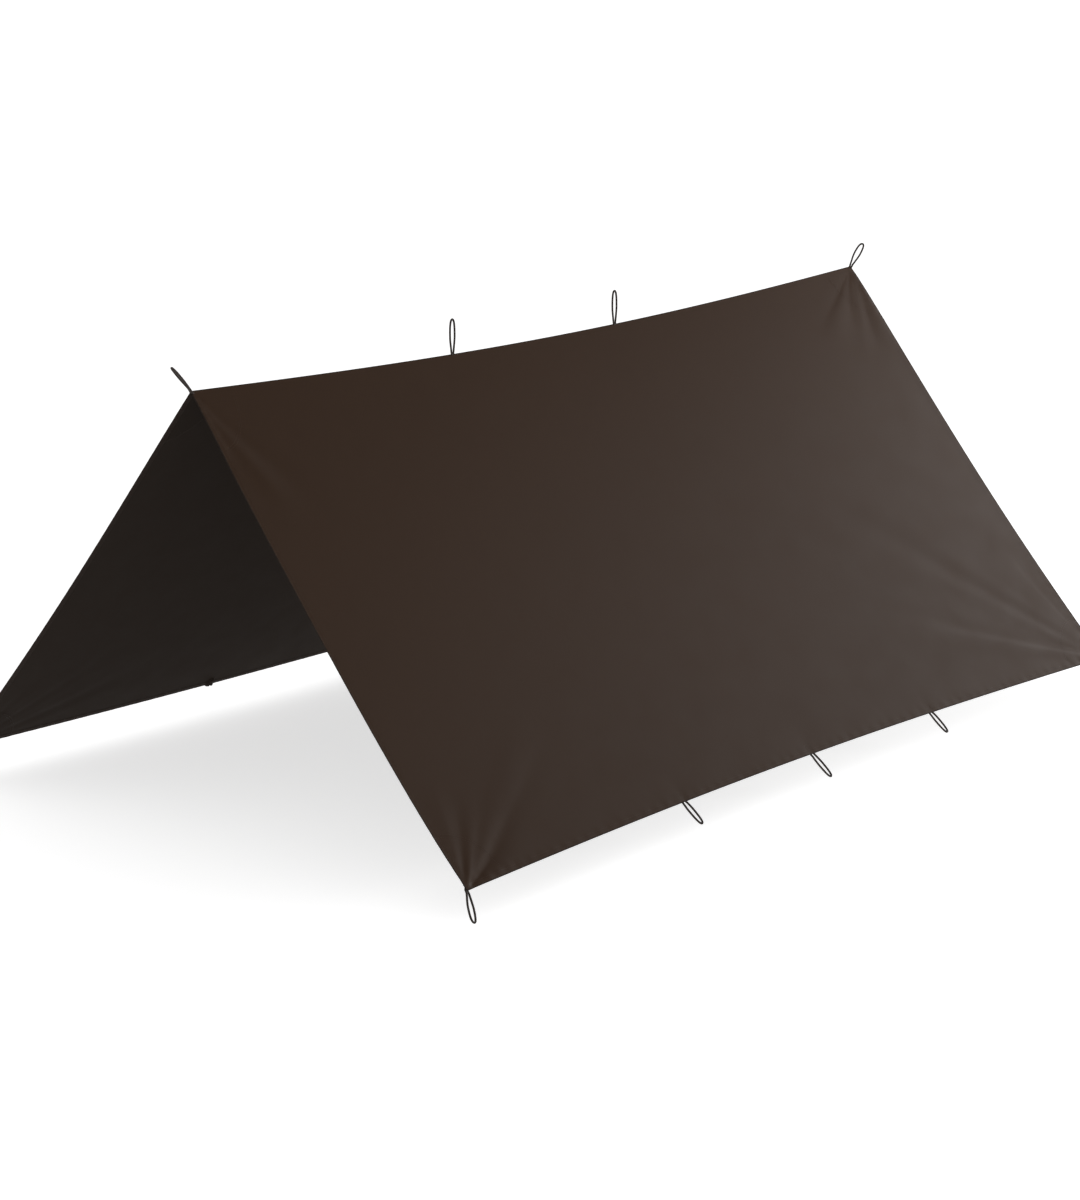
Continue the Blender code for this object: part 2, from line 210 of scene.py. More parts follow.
def creases(side, t, v):
    """Height of the cloth over its smooth surface, outwards."""
    x, y = RIDGE_LENGTH * np.asarray(t, float), SLOPE_LENGTH * np.asarray(v, float)
    x, y = np.broadcast_arrays(x, y)
    total = np.zeros(x.shape)
    for crease in (FRONT_CREASES if side < 0 else REAR_CREASES):
        total = total + fold_height(x, y, crease)
    # the layers sewn together in the corners keep them nearly flat
    off = np.minimum(x, RIDGE_LENGTH - x)
    total = total * smoothstep((np.hypot(off, SLOPE_LENGTH - y) - 0.006) / 0.028)
    total = total * smoothstep((np.hypot(off, y) - 0.006) / 0.030)
    # slack between the loops: very long and shallow swells across the slope
    total = total + 0.0012 * bow(v) * np.sin(2.1 * x + 1.7 * y + (0.6 if side < 0 else 2.2)) * bow(t)
    # puckers along the hems where the stitching gathers the cloth
    down, near, far = SLOPE_LENGTH - y, x, RIDGE_LENGTH - x
    edge = np.exp(-((down - 0.014) / 0.016) ** 2)
    total = total + 0.00035 * edge * np.sin(x * 2 * math.pi / 0.047 + 2.0 * np.sin(5 * x))
    for off in (near, far):
        edge = np.exp(-((off - 0.014) / 0.016) ** 2)
        total = total + 0.00030 * edge * np.sin(y * 2 * math.pi / 0.043 + 2.0 * np.sin(6 * y))
    # the eave loops draw the hem a little
    for k in EAVE_LOOPS:
        pull = np.exp(-((x - k * RIDGE_LENGTH) / 0.022) ** 2) * np.exp(-(down / 0.075) ** 2)
        total = total - 0.0005 * pull
    # nothing moves at the ridge itself, so that both slopes keep meeting there
    return total * np.clip(y / 0.030, 0, 1)


def cloth(side, t, v, depth=0.0):
    """Point of the creased cloth, that far under its outer face, mitred at the ridge."""
    v = np.maximum(v, np.maximum(depth, 0.0) * math.tan(PITCH) / SLOPE_LENGTH)
    return smooth_cloth(side, t, v) + (creases(side, t, v) - depth)[..., None] * smooth_normal(side, t, v)


# ------------------------------------------------------------------ mesh tools
def mesh_object(name, points, faces, uvs=None, smooth=True, materials=(), face_material=None):
    mesh = bpy.data.meshes.new(name)
    mesh.from_pydata([tuple(p) for p in points], [], [tuple(int(i) for i in f) for f in faces])
    if uvs is not None:
        layer = mesh.uv_layers.new(name="metres")
        loops = np.zeros(len(mesh.loops), np.int32)
        mesh.loops.foreach_get("vertex_index", loops)
        layer.data.foreach_set("uv", np.asarray(uvs, np.float32)[loops].ravel())
    for m in materials:
        mesh.materials.append(m)
    if face_material is not None:
        mesh.polygons.foreach_set("material_index", np.asarray(face_material, np.int32))
    if smooth:
        mesh.shade_smooth()
    mesh.validate()
    mesh.update()
    obj = bpy.data.objects.new(name, mesh)
    bpy.context.scene.collection.objects.link(obj)
    return obj


def grid_faces(rows, cols, flip=False, start=0):
    i, j = np.meshgrid(np.arange(rows - 1), np.arange(cols - 1), indexing="ij")
    a = start + i * cols + j
    quads = np.stack([a, a + cols, a + cols + 1, a + 1], -1).reshape(-1, 4)
    return quads[:, ::-1] if flip else quads


def rim_faces(loop_a, loop_b):
    """Quads between two closed loops of point numbers."""
    a, b = np.asarray(loop_a), np.asarray(loop_b)
    return np.stack([a, np.roll(a, -1), np.roll(b, -1), b], -1)


def border(rows, cols, start=0):
    """Point numbers round a grid, in order."""
    top = [start + j for j in range(cols)]
    right = [start + i * cols + cols - 1 for i in range(1, rows)]
    bottom = [start + (rows - 1) * cols + j for j in range(cols - 2, -1, -1)]
    left = [start + i * cols for i in range(rows - 2, 0, -1)]
    return np.array(top + right + bottom + left)


def outward_fixed(obj):
    """Turns all faces of a closed mesh outwards."""
    made = bmesh.new()
    made.from_mesh(obj.data)
    bmesh.ops.recalc_face_normals(made, faces=made.faces)
    made.to_mesh(obj.data)
    made.free()
    return obj


def store(obj, name, values):
    layer = obj.data.attributes.new(name, "FLOAT", "POINT")
    layer.data.foreach_set("value", np.asarray(values, np.float32))


def slab(name, side, t, v, top, bottom, materials, round_by=0.0, inner_slot=0):
    """A closed layer on the cloth over a grid of (t, v), between two depths."""
    rows, cols = t.shape
    upper, lower = cloth(side, t, v, top), cloth(side, t, v, bottom)
    middle = cloth(side, t, v, (np.asarray(top) + np.asarray(bottom)) / 2)
    ring = border(rows, cols)
    mid = middle.reshape(-1, 3)[ring]
    if round_by:
        # push the rim's middle outwards, away from the grid's inside
        i, j = np.divmod(ring, cols)
        inner = middle[np.clip(i, 1, rows - 2), np.clip(j, 1, cols - 2)] if rows > 2 and cols > 2 \
            else np.broadcast_to(middle.reshape(-1, 3).mean(0), mid.shape)
        away = mid - inner
        away = away / np.maximum(np.linalg.norm(away, axis=1, keepdims=True), 1e-9)
        mid = mid + away * round_by
    points = np.concatenate([upper.reshape(-1, 3), lower.reshape(-1, 3), mid])
    n = rows * cols
    faces = [grid_faces(rows, cols), grid_faces(rows, cols, True, n)]
    rims = np.arange(2 * n, 2 * n + len(ring))
    faces += [rim_faces(ring, rims), rim_faces(rims, ring + n)]
    index = np.concatenate([np.zeros(len(faces[0])), np.full(len(faces[1]), inner_slot),
                            np.zeros(len(faces[2]) + len(faces[3]))])
    uv = np.stack([t * RIDGE_LENGTH, v * SLOPE_LENGTH], -1).reshape(-1, 2)
    uvs = np.concatenate([uv, uv, uv[ring]])
    obj = mesh_object(name, points, np.concatenate(faces), uvs, True, materials, index)
    return outward_fixed(obj)


def graded(length, fine, coarse, growth=1.06, flat=0.040):
    """Positions from 0 to length, close together near both ends."""
    steps, at = [], 0.0
    step = fine
    while at < length / 2:
        steps.append(at)
        at += step
        if at > flat:
            step = min(step * growth, coarse)
    half = np.array(steps) * (length / 2) / at
    return np.concatenate([half, [length / 2], (length - half)[::-1]]) / length


def smoothstep(x):
    x = np.clip(x, 0.0, 1.0)
    return x * x * (3 - 2 * x)


# ---------------------------------------------------------------------- layers
PATCH = 0.0004
HEM = 0.0009
CORNER_REACH = (0.170, 0.170)
PEAK_REACH = (0.150, 0.200)


def patch_over(x, y):
    """1 where a reinforcement patch lies between cloth and hem, fading at its edge."""
    dx = np.minimum(x, RIDGE_LENGTH - x)
    corner = np.hypot(dx / CORNER_REACH[0], (SLOPE_LENGTH - y) / CORNER_REACH[1])
    peak = np.hypot(dx / PEAK_REACH[0], y / PEAK_REACH[1])
    return np.maximum(smoothstep((1.012 - corner) / 0.024), smoothstep((1.012 - peak) / 0.024))


def hem_over(x, y):
    """1 where a hem lies, fading at its inner edge."""
    off = np.minimum(np.minimum(x, RIDGE_LENGTH - x), SLOPE_LENGTH - y)
    return smoothstep((HEM_WIDTH + 0.0008 - off) / 0.0016)


def stacked(t, v, hem=True):
    """Depth of the inner face of what is sewn together at a point."""
    x, y = RIDGE_LENGTH * np.asarray(t, float), SLOPE_LENGTH * np.asarray(v, float)
    depth = CLOTH + PATCH * patch_over(x, y)
    if hem:
        corner = (smoothstep((HEM_WIDTH + 0.0008 - np.minimum(x, RIDGE_LENGTH - x)) / 0.0016)
                  * smoothstep((HEM_WIDTH + 0.0008 - (SLOPE_LENGTH - y)) / 0.0016))
        depth = depth + HEM * (hem_over(x, y) + corner)
    return depth


# ------------------------------------------------------------------- materials
def node(tree, kind, x=0, y=0, **values):
    made = tree.nodes.new(kind)
    made.location = (x, y)
    for key, value in values.items():
        setattr(made, key, value)
    return made


def new_material(name):
    made = bpy.data.materials.new(name)
    made.use_nodes = True
    tree = made.node_tree
    shader = tree.nodes["Principled BSDF"]
    return made, tree, shader


def math_node(tree, operation, a, b=None, c=None, clamp=False):
    made = node(tree, "ShaderNodeMath", operation=operation, use_clamp=clamp)
    for k, value in enumerate((a, b, c)):
        if value is None:
            continue
        if isinstance(value, (int, float)):
            made.inputs[k].default_value = value
        else:
            tree.links.new(value, made.inputs[k])
    return made.outputs[0]


def mix_colour(tree, factor, a, b, blend="MIX"):
    made = node(tree, "ShaderNodeMix", data_type="RGBA", blend_type=blend)
    for socket, value in ((made.inputs[0], factor), (made.inputs[6], a), (made.inputs[7], b)):
        if isinstance(value, (int, float)):
            socket.default_value = value
        elif isinstance(value, tuple):
            socket.default_value = (*value, 1.0)
        else:
            tree.links.new(value, socket)
    return made.outputs[2]


def scaled_uv(tree, sx, sy, rotation=0.0):
    coords = node(tree, "ShaderNodeUVMap", uv_map="metres")
    mapping = node(tree, "ShaderNodeMapping")
    mapping.inputs["Scale"].default_value = (sx, sy, 1.0)
    mapping.inputs["Rotation"].default_value = (0.0, 0.0, rotation)
    tree.links.new(coords.outputs[0], mapping.inputs[0])
    return mapping.outputs[0]


def noise(tree, vector, scale, detail=2.0, roughness=0.5, distortion=0.0):
    made = node(tree, "ShaderNodeTexNoise")
    made.inputs["Scale"].default_value = scale
    made.inputs["Detail"].default_value = detail
    made.inputs["Roughness"].default_value = roughness
    made.inputs["Distortion"].default_value = distortion
    tree.links.new(vector, made.inputs["Vector"])
    return made.outputs["Fac"]


def ramped(tree, value, low, high, out_low=0.0, out_high=1.0):
    made = node(tree, "ShaderNodeMapRange")
    made.inputs["From Min"].default_value = low
    made.inputs["From Max"].default_value = high
    made.inputs["To Min"].default_value = out_low
    made.inputs["To Max"].default_value = out_high
    tree.links.new(value, made.inputs["Value"])
    return made.outputs["Result"]


def weave(tree, threads_per_metre):
    """Height of a plain weave: warp and weft threads passing over and under each other."""
    coords = node(tree, "ShaderNodeUVMap", uv_map="metres")
    parts = node(tree, "ShaderNodeSeparateXYZ")
    tree.links.new(coords.outputs[0], parts.inputs[0])
    k = math.pi * threads_per_metre
    sx = math_node(tree, "SINE", math_node(tree, "MULTIPLY", parts.outputs[0], k))
    sy = math_node(tree, "SINE", math_node(tree, "MULTIPLY", parts.outputs[1], k))
    over = math_node(tree, "MULTIPLY", sx, sy)
    return math_node(tree, "MULTIPLY_ADD", over, 0.5, 0.5)


def cloth_material(name, dark, light, roughness, specular, threads=2400.0, mottle=0.5,
                   crumple=0.10, weave_bump=0.10, sheen=0.0, sheen_roughness=0.4, wear=None):
    made, tree, shader = new_material(name)
    links = tree.links
    plain = scaled_uv(tree, 1.0, 1.0)
    broad = noise(tree, plain, 1.3, 3.0, 0.55)
    cloudy = noise(tree, plain, 9.0, 4.0, 0.6)
    warp = noise(tree, scaled_uv(tree, 900.0, 9.0), 1.0, 2.0, 0.6)
    weft = noise(tree, scaled_uv(tree, 9.0, 900.0), 1.0, 2.0, 0.6)
    threads_tone = math_node(tree, "ADD", warp, weft)
    tone = math_node(tree, "ADD", math_node(tree, "MULTIPLY", broad, 0.45 * mottle),
                     math_node(tree, "MULTIPLY", cloudy, 0.25 * mottle))
    tone = math_node(tree, "MULTIPLY_ADD", threads_tone, 0.16, tone)
    height = weave(tree, threads)
    # The weave's height also tints the colour, lighter where a thread passes over and darker where it dips under. This
    # is painted shade in the weave's hollows.
    tone = math_node(tree, "MULTIPLY_ADD", height, 0.10, tone)
    middle = 0.35 * mottle + 0.16 + 0.05
    factor = ramped(tree, tone, middle - 0.32, middle + 0.32)
    colour = mix_colour(tree, factor, dark, light)
    if wear is not None:
        rim = node(tree, "ShaderNodeAttribute", attribute_name="rim")
        rubbed = noise(tree, scaled_uv(tree, 60.0, 60.0), 1.0, 4.0, 0.7)
        amount = math_node(tree, "MULTIPLY", rim.outputs["Fac"],
                           ramped(tree, rubbed, 0.42, 0.66, 0.10, 0.55), clamp=True)
        colour = mix_colour(tree, amount, colour, wear)
    links.new(colour, shader.inputs["Base Color"])
    rough = ramped(tree, cloudy, 0.3, 0.7, roughness - 0.04, roughness + 0.04)
    links.new(rough, shader.inputs["Roughness"])
    shader.inputs["Specular IOR Level"].default_value = specular
    if sheen:
        shader.inputs["Sheen Weight"].default_value = sheen
        shader.inputs["Sheen Roughness"].default_value = sheen_roughness
        shader.inputs["Sheen Tint"].default_value = (1.0, 0.97, 0.94, 1.0)
    fine = node(tree, "ShaderNodeBump")
    fine.inputs["Strength"].default_value = weave_bump
    fine.inputs["Distance"].default_value = 0.0001
    links.new(height, fine.inputs["Height"])
    coarse = node(tree, "ShaderNodeBump")
    coarse.inputs["Strength"].default_value = crumple
    coarse.inputs["Distance"].default_value = 0.004
    rumple = noise(tree, scaled_uv(tree, 14.0, 14.0), 1.0, 5.0, 0.58, 0.35)
    links.new(rumple, coarse.inputs["Height"])
    links.new(fine.outputs["Normal"], coarse.inputs["Normal"])
    links.new(coarse.outputs["Normal"], shader.inputs["Normal"])
    return made


OUTER = cloth_material("tarp_cloth", (0.0306, 0.0168, 0.0099), (0.0390, 0.0214, 0.0127),
                       0.50, 0.03, crumple=0.06)
# The inner face has the coated side's own dark brown. Part of its greyness is painted reflection of the bright floor
# below, put into the colour in place of a gloss. The hem and patch cloths below share that greyer tone.
COATED_WITH_PAINTED_REFLECTION = cloth_material("coated_inside_painted_reflection", (0.0162, 0.0118, 0.0092), (0.0204, 0.0150, 0.0120),
                        0.55, 0.010, crumple=0.06, weave_bump=0.05)
HEMMED = cloth_material("hem_cloth", (0.0176, 0.0124, 0.0096), (0.0222, 0.0158, 0.0124),
                        0.54, 0.015, crumple=0.14, wear=(0.040, 0.030, 0.024))
PATCHED = cloth_material("patch_cloth", (0.0158, 0.0115, 0.0090), (0.0199, 0.0147, 0.0117),
                         0.60, 0.012, threads=1500.0, crumple=0.12, weave_bump=0.22, wear=(0.034, 0.026, 0.021))


def tape_material():
    made, tree, shader = new_material("seam_sealing_tape")
    plain = scaled_uv(tree, 1.0, 1.0)
    cloudy = noise(tree, plain, 40.0, 4.0, 0.6)
    colour = mix_colour(tree, ramped(tree, cloudy, 0.3, 0.7), (0.016, 0.013, 0.0115), (0.024, 0.020, 0.018))
    tree.links.new(colour, shader.inputs["Base Color"])
    tree.links.new(ramped(tree, noise(tree, plain, 120.0, 3.0, 0.6), 0.3, 0.7, 0.24, 0.42), shader.inputs["Roughness"])
    bump = node(tree, "ShaderNodeBump")
    bump.inputs["Strength"].default_value = 0.25
    bump.inputs["Distance"].default_value = 0.0006
    tree.links.new(noise(tree, plain, 260.0, 3.0, 0.6), bump.inputs["Height"])
    tree.links.new(bump.outputs["Normal"], shader.inputs["Normal"])
    shader.inputs["Specular IOR Level"].default_value = 0.06
    return made


def cord_material():
    """Braided sheath: strands cross in a diamond pattern, read from (along, around)."""
    made, tree, shader = new_material("braided_cord")
    coords = node(tree, "ShaderNodeUVMap", uv_map="metres")
    parts = node(tree, "ShaderNodeSeparateXYZ")
    tree.links.new(coords.outputs[0], parts.inputs[0])
    along = math_node(tree, "MULTIPLY", parts.outputs[0], 2 * math.pi / 0.0046)
    around = math_node(tree, "MULTIPLY", parts.outputs[1], 2 * math.pi * 8)
    one = math_node(tree, "SINE", math_node(tree, "ADD", along, around))
    two = math_node(tree, "SINE", math_node(tree, "SUBTRACT", along, around))
    braid = math_node(tree, "MULTIPLY_ADD", math_node(tree, "MAXIMUM", one, two), 0.5, 0.5)
    strand = noise(tree, scaled_uv(tree, 1400.0, 40.0, 0.6), 1.0, 2.0, 0.6)
    dirt = noise(tree, scaled_uv(tree, 90.0, 3.0), 1.0, 3.0, 0.6)
    # The braid also tints the colour, lighter on the crossing strands and darker between them. This is painted shade
    # in the braid's grooves.
    tone = math_node(tree, "MULTIPLY_ADD", strand, 0.35, math_node(tree, "MULTIPLY", braid, 0.45))
    tone = math_node(tree, "MULTIPLY_ADD", dirt, 0.35, tone)
    colour = mix_colour(tree, ramped(tree, tone, 0.22, 0.92), (0.0120, 0.0092, 0.0076), (0.0420, 0.0330, 0.0280))
    tree.links.new(colour, shader.inputs["Base Color"])
    tree.links.new(ramped(tree, braid, 0.0, 1.0, 0.78, 0.58), shader.inputs["Roughness"])
    shader.inputs["Specular IOR Level"].default_value = 0.10
    bump = node(tree, "ShaderNodeBump")
    bump.inputs["Strength"].default_value = 0.6
    bump.inputs["Distance"].default_value = 0.0003
    tree.links.new(tone, bump.inputs["Height"])
    tree.links.new(bump.outputs["Normal"], shader.inputs["Normal"])
    return made


def thread_material(name, dark, light):
    made, tree, shader = new_material(name)
    coords = scaled_uv(tree, 2600.0, 300.0, 0.5)
    twist = noise(tree, coords, 1.0, 2.0, 0.5)
    colour = mix_colour(tree, ramped(tree, twist, 0.3, 0.7), dark, light)
    tree.links.new(colour, shader.inputs["Base Color"])
    tree.links.new(ramped(tree, twist, 0.3, 0.7, 0.62, 0.44), shader.inputs["Roughness"])
    bump = node(tree, "ShaderNodeBump")
    bump.inputs["Strength"].default_value = 0.4
    bump.inputs["Distance"].default_value = 0.0001
    tree.links.new(twist, bump.inputs["Height"])
    tree.links.new(bump.outputs["Normal"], shader.inputs["Normal"])
    shader.inputs["Specular IOR Level"].default_value = 0.08
    return made


TAPE = tape_material()
CORD = cord_material()
THREAD = thread_material("sewing_thread", (0.0170, 0.0120, 0.0094), (0.0400, 0.0290, 0.0225))
# The stitches on the outer face are coloured far lighter than the cloth they are sewn into. This is painted sheen: it
# stands in for the glossy light the cloth catches at a slant and lifts the shade the small stitches fall into. The
# thread itself is the cloth's colour.
OUTER_THREAD_PAINTED_SHEEN = thread_material("outer_thread_painted_sheen", (0.0520, 0.0330, 0.0230), (0.0760, 0.0500, 0.0350))


# ---------------------------------------------------------------- riding along
SLOPES = {-1: "front_slope", 1: "rear_slope"}
PREFIX = {-1: "front", 1: "rear"}


def bend_with(obj):
    """Bakes the piece's transform into its mesh; the piece is attached to neither slope."""
    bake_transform(obj)


# ---------------------------------------------------------------------- canopy
sheets = {}
for side in (-1, 1):
    ts = graded(RIDGE_LENGTH, 0.0026, 0.0140)
    vs = graded(SLOPE_LENGTH, 0.0026, 0.0140)
    t, v = np.meshgrid(ts, vs, indexing="ij")
    sheet = slab(PREFIX[side] + "_sheet", side, t, v, 0.0, CLOTH, [OUTER, COATED_WITH_PAINTED_REFLECTION], inner_slot=1)
    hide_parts(PREFIX[side] + "_panel", "ridge_fold")
    sheets[side] = sheet


# ------------------------------------------------------------------------ hems
HEM_PROFILE = [  # (inwards from the edge, depth over what it is sewn to, share of the base depth)
    (18.00, 0.03, 1.0), (18.30, 0.22, 1.0), (18.38, 0.45, 1.0), (18.30, 0.68, 1.0), (18.00, 0.86, 1.0),
    (16.60, 0.92, 1.0), (15.40, 0.84, 1.0), (14.20, 0.93, 1.0), (9.00, 0.97, 1.0), (4.40, 0.93, 1.0),
    (3.00, 0.85, 1.0), (1.90, 0.93, 1.0), (0.60, 0.92, 1.0), (-0.15, 0.78, 1.0), (-0.62, 0.48, 1.0),
    (-0.80, 0.10, 0.8), (-0.74, 0.00, 0.4), (-0.45, -0.10, 0.1), (0.10, -0.17, 0.0), (0.90, -0.19, 0.0),
    (1.70, -0.15, 0.0), (2.10, -0.04, 0.0), (2.10, 0.20, 0.0), (2.60, 0.03, 1.0), (5.60, 0.03, 1.0),
    (8.70, 0.03, 1.0), (11.80, 0.03, 1.0), (14.90, 0.03, 1.0),
]


def hem(name, side, at_t, at_v, in_t, in_v, extra):
    """A folded hem swept along an edge: at_* the edge, in_* one metre inwards, extra depth per point."""
    k = len(at_t)
    rows = []
    rims = []
    for u, d, share in HEM_PROFILE:
        u, d = u / 1000.0, d / 1000.0
        t, v = at_t + in_t * u, at_v + in_v * u
        base = stacked(t, v, hem=False) + extra
        rows.append(cloth(side, t, v, d + share * base))
        rims.append(1.0 if u < 0.0022 else (0.35 if abs(u - 0.018) < 0.0006 else 0.0))
    grid = np.stack(rows, 1)                       # along, profile
    n = len(HEM_PROFILE)
    points = grid.reshape(-1, 3)
    i, j = np.meshgrid(np.arange(k - 1), np.arange(n), indexing="ij")
    a, b = i * n + j, i * n + (j + 1) % n
    faces = np.stack([a, a + n, b + n, b], -1).reshape(-1, 4).tolist()
    faces += [list(range(n)), [(k - 1) * n + m for m in range(n)][::-1]]
    along = np.concatenate([[0], np.cumsum(np.linalg.norm(np.diff(grid[:, 0], axis=0), axis=1))])
    uvs = np.stack([np.repeat(along, n), np.tile([p[0] / 1000.0 for p in HEM_PROFILE], k)], -1)
    obj = mesh_object(name, points, faces, uvs, True, [HEMMED])
    store(obj, "rim", np.tile(rims, k))
    outward_fixed(obj)
    return obj


soft_with = {-1: [], 1: []}
for side in (-1, 1):
    name = PREFIX[side] + "_eave_hem"
    ts = graded(RIDGE_LENGTH, 0.0030, 0.0140)
    ts[0], ts[-1] = -0.0004 / RIDGE_LENGTH, 1 + 0.0004 / RIDGE_LENGTH
    off = np.minimum(ts, 1 - ts) * RIDGE_LENGTH
    over = HEM * smoothstep((HEM_WIDTH + 0.004 - off) / 0.004)
    made = hem(name + "_fabric", side, ts, np.ones(len(ts)), np.zeros(len(ts)),
               np.full(len(ts), -1 / SLOPE_LENGTH), over)
    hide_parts(name)
    soft_with[side].append(made)
    for label, end in (("near", 0.0), ("far", 1.0)):
        name = PREFIX[side] + "_gable_hem_" + label
        vs = graded(SLOPE_LENGTH, 0.0030, 0.0140)
        vs[0] = 0.0002 / SLOPE_LENGTH
        inn = (1.0 if end == 0.0 else -1.0) / RIDGE_LENGTH
        made = hem(name + "_fabric", side, np.full(len(vs), end), vs, np.full(len(vs), inn),
                   np.zeros(len(vs)), 0.0)
        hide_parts(name)
        soft_with[side].append(made)


# --------------------------------------------------------------------- patches
def patch(name, side, end, top, reach):
    """A quarter round patch in a corner, between cloth and hem."""
    rs = np.concatenate([np.linspace(0.02, 0.96, 34), [0.975, 0.99, 1.0]])
    turn = np.radians(np.linspace(0.3, 89.7, 46))
    r, a = np.meshgrid(rs, turn, indexing="ij")
    dx, dy = r * np.cos(a) * reach[0], r * np.sin(a) * reach[1]
    t = (dx if end == 0.0 else RIDGE_LENGTH - dx) / RIDGE_LENGTH
    v = (dy if top else SLOPE_LENGTH - dy) / SLOPE_LENGTH
    v = np.maximum(v, 0.0006)
    rise = 0.00010 * smoothstep((r - 0.97) / 0.03)          # the turned-under edge is a little thicker
    obj = slab(name, side, t, v, CLOTH + 0.00002, CLOTH + PATCH + rise, [PATCHED], 0.00012)
    rim = np.zeros(len(obj.data.vertices))
    n = r.size
    edge = smoothstep((r.reshape(-1) - 0.975) / 0.02) * 0.6
    rim[:n], rim[n:2 * n] = edge, edge
    rim[2 * n:] = 0.5
    store(obj, "rim", rim)
    return obj


for side in (-1, 1):
    for label, end in (("near", 0.0), ("far", 1.0)):
        for top, kind, reach in ((True, "peak_patch_", PEAK_REACH), (False, "corner_patch_", CORNER_REACH)):
            name = PREFIX[side] + "_" + kind + label
            made = patch(name + "_fabric", side, end, top, reach)
            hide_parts(name)
            soft_with[side].append(made)


# ------------------------------------------------------------------ cord paths
def bezier(a, b, c, d, k):
    return (1 - k) ** 3 * a + 3 * (1 - k) ** 2 * k * b + 3 * (1 - k) * k * k * c + k**3 * d


def leg(u):
    """Half of a loop: how far out, and how far from the loop's middle line."""
    u = np.asarray(u, float)
    first = u < 0.5
    k = np.where(first, 2 * u, 2 * u - 1)
    long, wide = LOOP_LENGTH, LOOP_HALF_WIDTH
    s = np.where(first, bezier(0.0, 0.20 * long, 0.38 * long, 0.58 * long, k),
                 bezier(0.58 * long, 0.86 * long, long, long, k))
    w = np.where(first, bezier(LOOP_NECK, 0.0045, wide, wide, k), bezier(wide, wide, LOOP_TIP, 0.0, k))
    return s, w


def unit(a):
    a = np.asarray(a, float)
    return a / np.linalg.norm(a)


def loop_points(turn_at, reach, towards, spread, from_reach):
    """Centre line of the part of a loop beyond from_reach, one leg and back down the other."""
    y = unit(towards)
    x = np.asarray(spread, float)
    x = unit(x - (x @ y) * y)
    u = np.linspace(0, 1, 400)
    s, w = leg(u)
    keep = s >= from_reach
    s, w = s[keep], w[keep]
    s, w = np.concatenate([s, s[::-1][1:]]), np.concatenate([-w, w[::-1][1:]])
    return np.asarray(turn_at, float) + (s - reach)[:, None] * y + w[:, None] * x


def evenly(points, step):
    gap = np.linalg.norm(np.diff(points, axis=0), axis=1)
    at = np.concatenate([[0], np.cumsum(gap)])
    count = max(2, int(round(at[-1] / step)) + 1)
    want = np.linspace(0, at[-1], count)
    return np.stack([np.interp(want, at, points[:, k]) for k in range(3)], 1)


def softened(points, step=0.0006, sigma=0.0026):
    """The same line without sharp turns, its two ends kept."""
    line = evenly(points, step)
    reach = int(3 * sigma / step)
    kernel = np.exp(-0.5 * (np.arange(-reach, reach + 1) * step / sigma) ** 2)
    kernel /= kernel.sum()
    before = 2 * line[0] - line[1:reach + 1][::-1]
    after = 2 * line[-1] - line[-reach - 1:-1][::-1]
    padded = np.concatenate([before, line, after])
    return np.stack([np.convolve(padded[:, k], kernel, "valid") for k in range(3)], 1)


CORD_STEP, CORD_SIDES = 0.0008, 32


